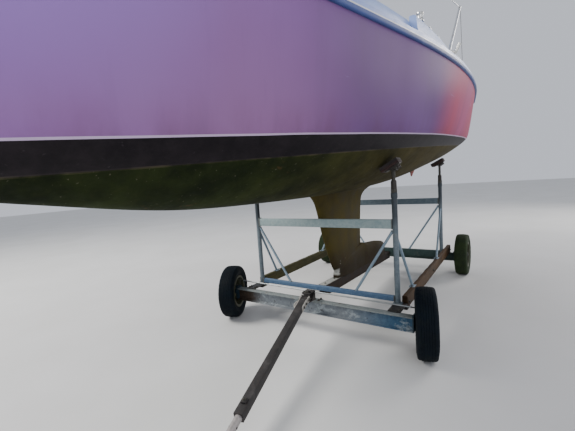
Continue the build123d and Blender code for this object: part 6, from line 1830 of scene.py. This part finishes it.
tp = Vector(at(RD, 0, 92, 1180))
tab = [(30.0, 0.0, 14.2, 20.0), (-60.0, 0.0, 14.2, 20.0), (-420.0, 14.0, 14.4, 19.0), (-800.0, 46.0, 13.5, 17.0), (-1010.0, 51.0, 13.0, 14.0), (-1080.0, 50.0, 16.0, 16.0)]
tq = np.concatenate([np.linspace(30, -60, 4)[:-1], np.linspace(-60, -1000, 40)[:-1], np.linspace(-1000, -1080, 12)])
tt = spline([-r[0] for r in tab], [r[1:] for r in tab], -tq)
b = Bits()
rings = []
for y, (dz, w, h) in zip(tq, tt):
    e = 0.35 if y > -140 else 0.35 + 0.35 * min(1.0, (-140 - y) / 260.0)
    end = 1.0
    if y < -1060:
        end = max(0.15, sqrt(max(0.0, 1 - ((-1060 - y) / 20.5) ** 2)))
    w = min(w, 14.3) if y > -1000 else w
    ring = []
    for k in range(28):
        a = 2 * pi * k / 28
        ring.append((tp.x + end * w * (1 if cos(a) >= 0 else -1) * abs(cos(a)) ** e, tp.y + y, tp.z + dz + end * h * (1 if sin(a) >= 0 else -1) * abs(sin(a)) ** e))
    rings.append(ring)
b.rings(rings, "tiller")
for s in (-1, 1):
    b.cyl((tp.x + s * 14.0, tp.y - 30, tp.z), (tp.x + s * 14.9, tp.y - 30, tp.z), 6, "stainless", 16, 0.3)
b.make("tiller_look", 45, "tiller", "tiller", "teak")

# ====================================================================== rails and fittings on deck
STN = [(760.0, 26.0, 1190.0, 1168.0, 3190.0), (-1200.0, 45.0, -1200.0, 700.0, 3160.0), (-2150.0, 45.0, -2150.0, 432.0, 3160.0)]
b, w = Bits(), Bits()


def socket(b, p, d, zd, key="stainless"):
    """A stanchion or rail foot: a plate screwed to the deck with a raised sleeve."""
    b.cyl((p.x, p.y, zd - 1), (p.x, p.y, zd + 5), 29, key, 40, 1.5)
    b.cyl(p + d * 2, p + d * 42, 15.6, key, 28, 1.5)
    b.revolve([(15, 5), (26, 5), (22, 9), (17.5, 16), (15, 20)], (p.x, p.y, zd), (0, 0, 1), key, 36, True)
    for k in range(3):
        a = 2 * pi * k / 3 + 0.5
        b.cyl((p.x + 22.5 * cos(a), p.y + 22.5 * sin(a), zd + 4.5), (p.x + 22.5 * cos(a), p.y + 22.5 * sin(a), zd + 7.5), 4.2, key, 14, 1.2)


for side in (1, -1):
    tops = []
    for y, ins, ty, tx, tz in STN:
        xs, zs = sheer(y)
        foot = Vector((side * (xs - ins - 14), y, zs + 34))
        top = Vector((side * tx, ty, tz))
        d = (top - foot).normalized()
        b.tube([foot, foot + d * 20, top - d * 12, top - d * 5, top - d * 1.2, top], 12.5, "stainless", 28, True, False, [12.5, 12.5, 12.5, 11.5, 7.5, 2.5])
        socket(b, foot, d, deck_z(foot.x, foot.y))
        wp = Vector((side * tx, ty, tz - 12))
        b.revolve([(3.6, -14.5), (6.5, -14.5), (7.5, -13), (7.5, 13), (6.5, 14.5), (3.6, 14.5)], wp, (0, 1, 0), "stainless", 24, True)
        tops.append(wp)
        if y > 0:
            # upturned hook at the foot of the raked aft stanchion
            hx0 = side * (xs - ins - 14)
            hk = fillet_path([(hx0, y, zs + 68), (hx0 + side * 47, y + 96, zs + 68), (hx0 + side * 86, y + 104, zs + 150)], 24, 8)
            b.tube(hk, 15.0, "bright", 24)
            e = (Vector(hk[-1]) - Vector(hk[-2])).normalized()
            b.revolve([(0, 0), (14.5, 0), (13, 3), (8, 5.0), (0, 6.0)], Vector(hk[-1]) - e * 3.5, e, "bright", 24)
            # lashing down to the toe rail
            w.cyl((side * (tx + 1), ty + 14, tz - 14), (side * 1180, 1206, 2652), 2.2, "rope_dark", 10, 0)
    tops.append(Vector((side * 338, -2790, 3150)))
    for k, (p, q) in enumerate(zip(tops, tops[1:])):
        d = (q - p).normalized()
        p0, p1 = p + d * (26 if k == 0 else 17), q - d * 17
        w.cyl(p0, p1, 2.6, "stainless", 14, 0)
        for e, dd in ((p0, d), (p1, -d)):
            w.cyl(e, e + dd * 60, 3.6, "stainless", 14, 0.8)
        if k == 0:
            w.cyl(p0 + d * 60, p0 + d * 150, 5.4, "stainless", 16, 1.5)
            w.cyl(p0 + d * 95, p0 + d * 115, 6.4, "stainless", 6, 0.8)
b.make("stanchions_look", 35, ROOT, "stanchions", "stainless")
w.make("guard_wires_look", 35, ROOT, "guard_wires", "stainless")

b = Bits()
pul = fillet_path([(352, -2700, 2572), (338, -2790, 3162), (128, -3500, 3180), (-128, -3500, 3180), (-338, -2790, 3162), (-352, -2700, 2572)], 60, 10)
dense = []
for p, q in zip(pul, pul[1:]):
    n = max(1, int((q - p).length / 90))
    dense += [p + (q - p) * k / n for k in range(n)]
b.tube(dense + [pul[-1]], 12.5, "stainless", 24)
for s in (-1, 1):
    p, q = Vector((s * 74, -3330, 2585)), Vector((s * 168, -3360, 3176))
    d = (q - p).normalized()
    b.cyl(p, q - d * 8, 12.4, "stainless", 24, 0)
    weld_ring(b, q - d * 13, d, 12.2, "stainless", 3.4)
    socket(b, p + d * 22, d, deck_z(p.x, p.y))
    p, d = Vector((s * 352, -2700, 2600)), (Vector((s * 338, -2790, 3162)) - Vector((s * 352, -2700, 2572))).normalized()
    socket(b, p, d, deck_z(p.x, p.y))
b.make("pulpit_look", 35, ROOT, "pulpit", "stainless")

b = Bits()
zd = 2625
b.box(-16, 16, -3632, -3424, zd - 2, zd + 6, "stainless", 2)
SF = Matrix.Identity(4)
slab(b, round_poly([(-3700, 2640), (-3686, 2604), (-3600, 2604), (-3560, 2612), (-3560, 2640), (-3640, 2698), (-3696, 2698)], 10), SF, -4, 4, "stainless", 1.0)
for y in (-3600, -3530, -3455):
    b.cyl((0 if y > -3560 else 9, y, zd + 5), (0 if y > -3560 else 9, y, zd + 8.5), 5, "stainless", 16, 1.2)
b.revolve([(6.2, -6), (12, -6), (12, 6), (6.2, 6)], (0, -3672, 2672), (1, 0, 0), "stainless", 28, True)
for s in (-1, 1):
    b.tube(fillet_path([(s * 20, -3600, zd + 2), (s * 20, -3600, zd + 26), (s * 20, -3520, zd + 26), (s * 20, -3520, zd + 2)], 12, 5), 5, "stainless", 14)
b.make("stem_fitting_look", 32, ROOT, "stem_fitting", "stainless")

b = Bits()
for s in (-1, 1):
    c = (s * 858, 790, 2996)
    b.revolve([(0, 0.4), (35.5, 0.4), (36, 3), (36, 12), (34.5, 14), (33, 15), (31, 22), (28.6, 32), (27.3, 44), (27.2, 54), (28.4, 62), (31.5, 70), (35, 75), (35, 84), (33.5, 87.6), (26, 87.6), (24, 85), (12, 85), (11, 79), (0, 79)], c, (0, 0, 1), "chrome", 56)
    for k in range(22):
        a = 2 * pi * k / 22
        pts = [(c[0] + r * cos(a), c[1] + r * sin(a), c[2] + z) for z, r in ((18, 32.5), (30, 29.3), (42, 27.7), (54, 27.5), (64, 29.6))]
        b.tube(pts, 1.3, "chrome", 6)
    b.cyl((c[0], c[1], c[2] + 78), (c[0], c[1], c[2] + 82), 8, "black", 8, 0.5)
b.make("winches_look", 28, ROOT, "winches", "stainless")

b = Bits()
for x, y, z, n in ((890.0, 1120.0, 2993.5, 130.0), (918.0, 1420.0, 2987.0, 130.0), (0.0, -3060.0, 2607.0, 200.0), (880.0, 3260.0, 2650.0, 180.0)):
    for s in ((1, -1) if x else (1,)):
        h = n / 2
        ys = np.linspace(-h, h, 25)
        b.tube([(s * x, y + t, z + 35 + 5.5 * (abs(t) / h) ** 2.2) for t in ys], 8, "cleat", 18, True, False, [max(3.2, 8.8 * (1 - (abs(t) / h) ** 3.0 * 0.55)) * (0.6 if abs(t) > h - 1 else 1.0) for t in ys])
        for q in (-1, 1):
            b.tube([(s * x, y + q * (n * 0.16 + 6), z + 2), (s * x, y + q * (n * 0.17 + 2), z + 10), (s * x, y + q * n * 0.17, z + 22), (s * x, y + q * (n * 0.17 + 1), z + 33)], 8, "cleat", 16, True, False, [12.5, 8.4, 7.4, 8.6])
        b.box(s * x - 13, s * x + 13, y - n * 0.3, y + n * 0.3, z - 2, z + 6, "cleat", 3, 3)
        for q in (-1, 1):
            b.cyl((s * x, y + q * n * 0.24, z + 5.5), (s * x, y + q * n * 0.24, z + 8), 4.6, "stainless", 14, 1.0)
b.make("cleats_look", 40, ROOT, "cleats", "cleat_alloy")

b = Bits()
for s in (-1, 1):
    for y in (-120.0, 240.0):
        xs, zs = sheer(y)
        x = s * (xs - 78)
        CP = Matrix.Translation((x, 0, 0))
        top = [(y + 16 * cos(t), zs + 76 + 16 * sin(t)) for t in [pi * k / 14 for k in range(15)]]
        outline = [(y - 16, zs + 26), (y + 16, zs + 26)] + top
        hole = [(y + 5 * cos(t), zs + 76 + 5 * sin(t)) for t in [2 * pi * k / 20 for k in range(20)]]
        slab(b, outline, CP, -2.5, 2.5, "stainless", 0.8)
        b.revolve([(5.0, -3.2), (8.5, -3.2), (8.5, 3.2), (5.0, 3.2)], (x, y, zs + 76), (1, 0, 0), "stainless", 24, True)
        b.box(x - 16, x + 16, y - 34, y + 34, deck_z(x, y) - 1, deck_z(x, y) + 2.6, "stainless", 1)
        for q in (-26, 26):
            b.cyl((x, y + q, deck_z(x, y) + 2), (x, y + q, deck_z(x, y) + 5), 4, "stainless", 14, 1)
b.make("chainplates_look", 32, ROOT, "chainplates", "stainless")

# ====================================================================== mast and boom, stowed
MZ = 3262.0
b = Bits()


def mast_ring(y, g=0.0):
    out = []
    for k in range(24):
        t = -1 + 2 * k / 24
        out.append((14 + 24 * (1 - abs(t) ** 2.3), y, MZ + 55 * t))
    out += [(14 - g, y, MZ + 55), (3.4, y, MZ + 55), (3.4, y, MZ + 46), (-3.4, y, MZ + 46), (-3.4, y, MZ + 55), (-14 + g, y, MZ + 55)]
    for k in range(24):
        t = 1 - 2 * k / 24
        out.append((-14 - 24 * (1 - abs(t) ** 2.3), y, MZ + 55 * t))
    return out


b.rings([mast_ring(y) for y in np.linspace(-4380, 4328, 60)], "alloy")
b.box(-12, 12, -4382, -4300, MZ - 44, MZ + 40, "stainless", 3)
for z in (-28, 26):
    b.revolve([(4, -7), (17, -7), (19, -5), (15, -1), (15, 1), (19, 5), (17, 7), (4, 7)], (0, -4352, MZ + z), (1, 0, 0), "black", 32, True)
b.box(-30, 30, 4300, 4330, MZ - 50, MZ + 50, "cleat", 6, 3)
b.box(-6, 6, 4320, 4388, MZ - 48, MZ + 48, "cleat", 3, 2)
for y in (-4100, -1900, -300, 1900, 3900):
    for s in (-1, 1):
        b.box(s * 34, s * 39.4, y - 26, y + 26, MZ - 14, MZ + 14, "stainless", 1.6)
        for q in (-16, 16):
            b.cyl((s * 39, y + q, MZ), (s * 41.4, y + q, MZ), 4, "stainless", 14, 0.9)
for s in (-1, 1):
    b.cyl((s * 26, -4080, MZ + 50), (s * 26, 3880, MZ + 50), 2.6, "stainless", 10, 0)
for y in (-3700, -2500, -1300, 150, 1500, 2900, 3800):
    r0 = mast_ring(y - 22)
    cx = [(x * 1.045 + (0.9 if x > 0 else -0.9), q, MZ + (z - MZ) * 1.04) for x, q, z in r0 if not (abs(x) < 4)]
    b.rings([cx, [(x, q + 44, z) for x, q, z in cx]], "black")
b.make("mast_look", 40, ROOT, "mast", "mast_alloy")

b = Bits()
BZ = MZ - 14


def boom_ring(y, s=1.0):
    out = []
    for qx, qz in ((1, -1), (1, 1), (-1, 1), (-1, -1)):
        for k in range(7):
            a = atan2(qz, qx) - pi / 4 + (pi / 2) * k / 6
            out.append((128 + s * (qx * 4 + 24 * cos(a)), y, BZ + s * (qz * 17 + 24 * sin(a))))
    return out


b.rings([boom_ring(y) for y in np.linspace(-600, 2262, 20)], "alloy")
for y0, y1 in ((-620, -596), (2258, 2280)):
    b.rings([boom_ring(y0, 0.94), boom_ring(y0 + 3, 1.01), boom_ring(y1 - 3, 1.01), boom_ring(y1, 0.94)], "black")
b.box(123, 133, -604, 2262, BZ + 39.5, BZ + 41, "black", 0.5)
for y in (300, 1500):
    b.box(118, 138, y - 30, y + 30, BZ - 44, BZ - 40, "stainless", 1.2)
    b.tube(fillet_path([(128, y - 18, BZ - 42), (128, y - 18, BZ - 60), (128, y + 18, BZ - 60), (128, y + 18, BZ - 42)], 14, 6), 3.6, "stainless", 12)
b.make("boom_look", 40, ROOT, "boom", "mast_alloy")

b = Bits()
path = [(-42, MZ - 20), (-43, MZ + 10), (-34, MZ + 42), (-18, MZ + 57.5), (16, MZ + 57.5), (70, MZ + 47), (120, BZ + 43.5), (140, BZ + 43.5), (155, BZ + 32), (159.5, BZ + 15), (159.5, BZ - 15), (155, BZ - 32), (140, BZ - 43.5), (116, BZ - 43.5), (70, MZ - 57), (16, MZ - 58), (-18, MZ - 58), (-34, MZ - 44)]
pp = [Vector((x, 0, z)) for x, z in path]
n = len(pp)
outer, inner = [], []
for k in range(n):
    t = (pp[(k + 1) % n] - pp[k - 1]).normalized()
    nr = Vector((-t.z, 0, t.x))
    outer.append(pp[k] + nr * 1.6)
    inner.append(pp[k] - nr * 1.2)
rings = [[(p.x, y, p.z) for p in lst] for y, lst in ((2120, outer), (2150, outer), (2150, inner), (2120, inner))]
verts = [p for r in rings for p in r]
b.raw(verts, [(i * n + j, i * n + (j + 1) % n, ((i + 1) % 4) * n + (j + 1) % n, ((i + 1) % 4) * n + j) for i in range(4) for j in range(n)], "webbing")
b.box(60, 90, 2116, 2154, MZ + 50.5, MZ + 57, "stainless", 1.5, 2)
b.make("boom_strop_look", 40, ROOT, "boom_strop", "webbing")

# crutches: softwood posts, cheeks screwed to the blocks
b = Bits()
low = MZ - 55
for hw, y0, y1, z0, zc, under in ((62, -3530, -3470, 3192.8, 3192.8, False), (60, -930, -890, 2900, 3100, True), (340, 3280, 3320, 3150, 3150, False)):
    if under:
        z0 = roof_z(0, (y0 + y1) / 2) - 6
    if hw < 100:
        b.box(-41.7, 41.7, y0, y1, z0, low - 0.3, "crutch", 2)
    else:
        b.box(-hw, hw, y0, y1, z0, low - 0.3, "crutch_x", 3)
    for s in (-1, 1):
        zl = max(zc, z0) if hw < 100 else low - 0.1
        b.box(s * 41.9, s * 62, y0, y1, zl, MZ, "crutch", 3, 3)
        for z in (low - 22, low - 42) if hw < 100 else (low + 20,):
            if z > zl:
                b.cyl((s * 62, (y0 + y1) / 2, z), (s * 63.6, (y0 + y1) / 2, z), 5, "screw", 14, 0.5)
    b.box(-30, 30, y0 + 3, y1 - 3, low - 1.4, low - 0.1, "pad", 0.4)
for s in (-1, 1):
    p, q = Vector((s * 430, 3300, deck_z(430, 3300) - 2)), Vector((s * 305, 3300, 3149.6))
    b.beam(p, q, 60, 40, "crutch", 2.5, (1, 0, 0))
    b.box(s * 305 - 34, s * 305 + 34, 3318.2, 3323, 3130, 3196, "post", 1)
    for z in (3142, 3176):
        b.bolt((s * 305, 3323, z), (0, 1, 0), "screw", 13, 6)
b.box(96, 160, -500, -470, roof_z(128, -485) - 5, BZ - 41.3, "crutch", 2)
b.make("mast_crutches_look", 35, ROOT, "mast_crutches", "weathered_timber")

b = Bits()
for q in (330, 470):
    b.box(q, q + 20, -52, 41, 694, 712, "stainless", 2, 2, RD)
    b.box(q, q + 20, -52, 41, 878, 896, "stainless", 2, 2, RD)
    b.box(q + 2, q + 18, -30, 30, 700, 890, "stainless", 2, 2, RD)
slab(b, round_poly([(40, 640), (78, 640), (78, 920), (40, 920)], 6), RD, 310, 510, "ply", 3)
b.box(322, 498, 75.5, 80, 700, 860, "black", 1.5, 2, RD)
for x in (340, 480):
    for z in (703, 887):
        b.cyl(at(RD, x, 77, z), at(RD, x, 80.5, z), 9, "stainless", 20, 1.4)
b.make("outboard_bracket_look", 35, ROOT, "outboard_bracket", "bracket_ply")

# ====================================================================== floor, light, camera
me = bpy.data.meshes.new("floor")
FL = 40.0
me.from_pydata([(-FL, -FL, 0), (FL, -FL, 0), (FL, FL, 0), (-FL, FL, 0)], [], [(0, 1, 2, 3)])
floor = new_obj("floor", me)
m = Mat("floor_paint")
n = m.noise(0.8, 4.0)
me.materials.append(m.done(m.mix(m.span(n, 0.35, 0.65), (0.60, 0.60, 0.585), (0.64, 0.64, 0.63)), 0.85))

world = bpy.data.worlds.new("studio")
scene.world = world
world.use_nodes = True
bg = world.node_tree.nodes["Background"]
bg.inputs[0].default_value = (0.86, 0.90, 1.0, 1.0)
bg.inputs[1].default_value = 0.75


def area(name, loc, target, size, power, color=(1, 1, 1), size_y=None):
    l = bpy.data.lights.new(name, "AREA")
    l.shape = "RECTANGLE"
    l.size, l.size_y = size, size_y or size
    l.energy = power
    l.color = color
    o = bpy.data.objects.new(name, l)
    scene.collection.objects.link(o)
    o.location = loc
    d = Vector(target) - Vector(loc)
    o.rotation_euler = d.to_track_quat("-Z", "Y").to_euler()
    return o


area("key", (-7.0, -5.0, 9.0), (0, 0, 1.5), 5.0, 1500, (1.0, 0.97, 0.92))
area("fill", (7.0, -7.0, 5.0), (0, 0, 1.5), 7.0, 280, (0.92, 0.94, 1.0))
area("rim", (6.0, 9.0, 6.0), (0, 0, 1.5), 5.0, 600, (1.0, 0.96, 0.92))

az, el, roll = radians(34.667), radians(5.733), radians(3.917)
fwd = Vector((-sin(az) * cos(el), cos(az) * cos(el), -sin(el)))
right = fwd.cross(Vector((0, 0, 1))).normalized()
up = right.cross(fwd)
r2 = right * cos(roll) - up * sin(roll)
u2 = right * sin(roll) + up * cos(roll)
cam = bpy.data.cameras.new("camera")
cam.sensor_width = 36.0
cam.sensor_fit = "HORIZONTAL"
cam.lens = 36.0 * 331.83 / 575.0
cam.clip_start, cam.clip_end = 0.05, 200.0
camo = bpy.data.objects.new("camera", cam)
scene.collection.objects.link(camo)
rot = Matrix((r2, u2, -fwd)).transposed().to_4x4()
camo.matrix_world = Matrix.Translation(Vector((1.643, -2.902 + S, 1.498))) @ rot
scene.camera = camo
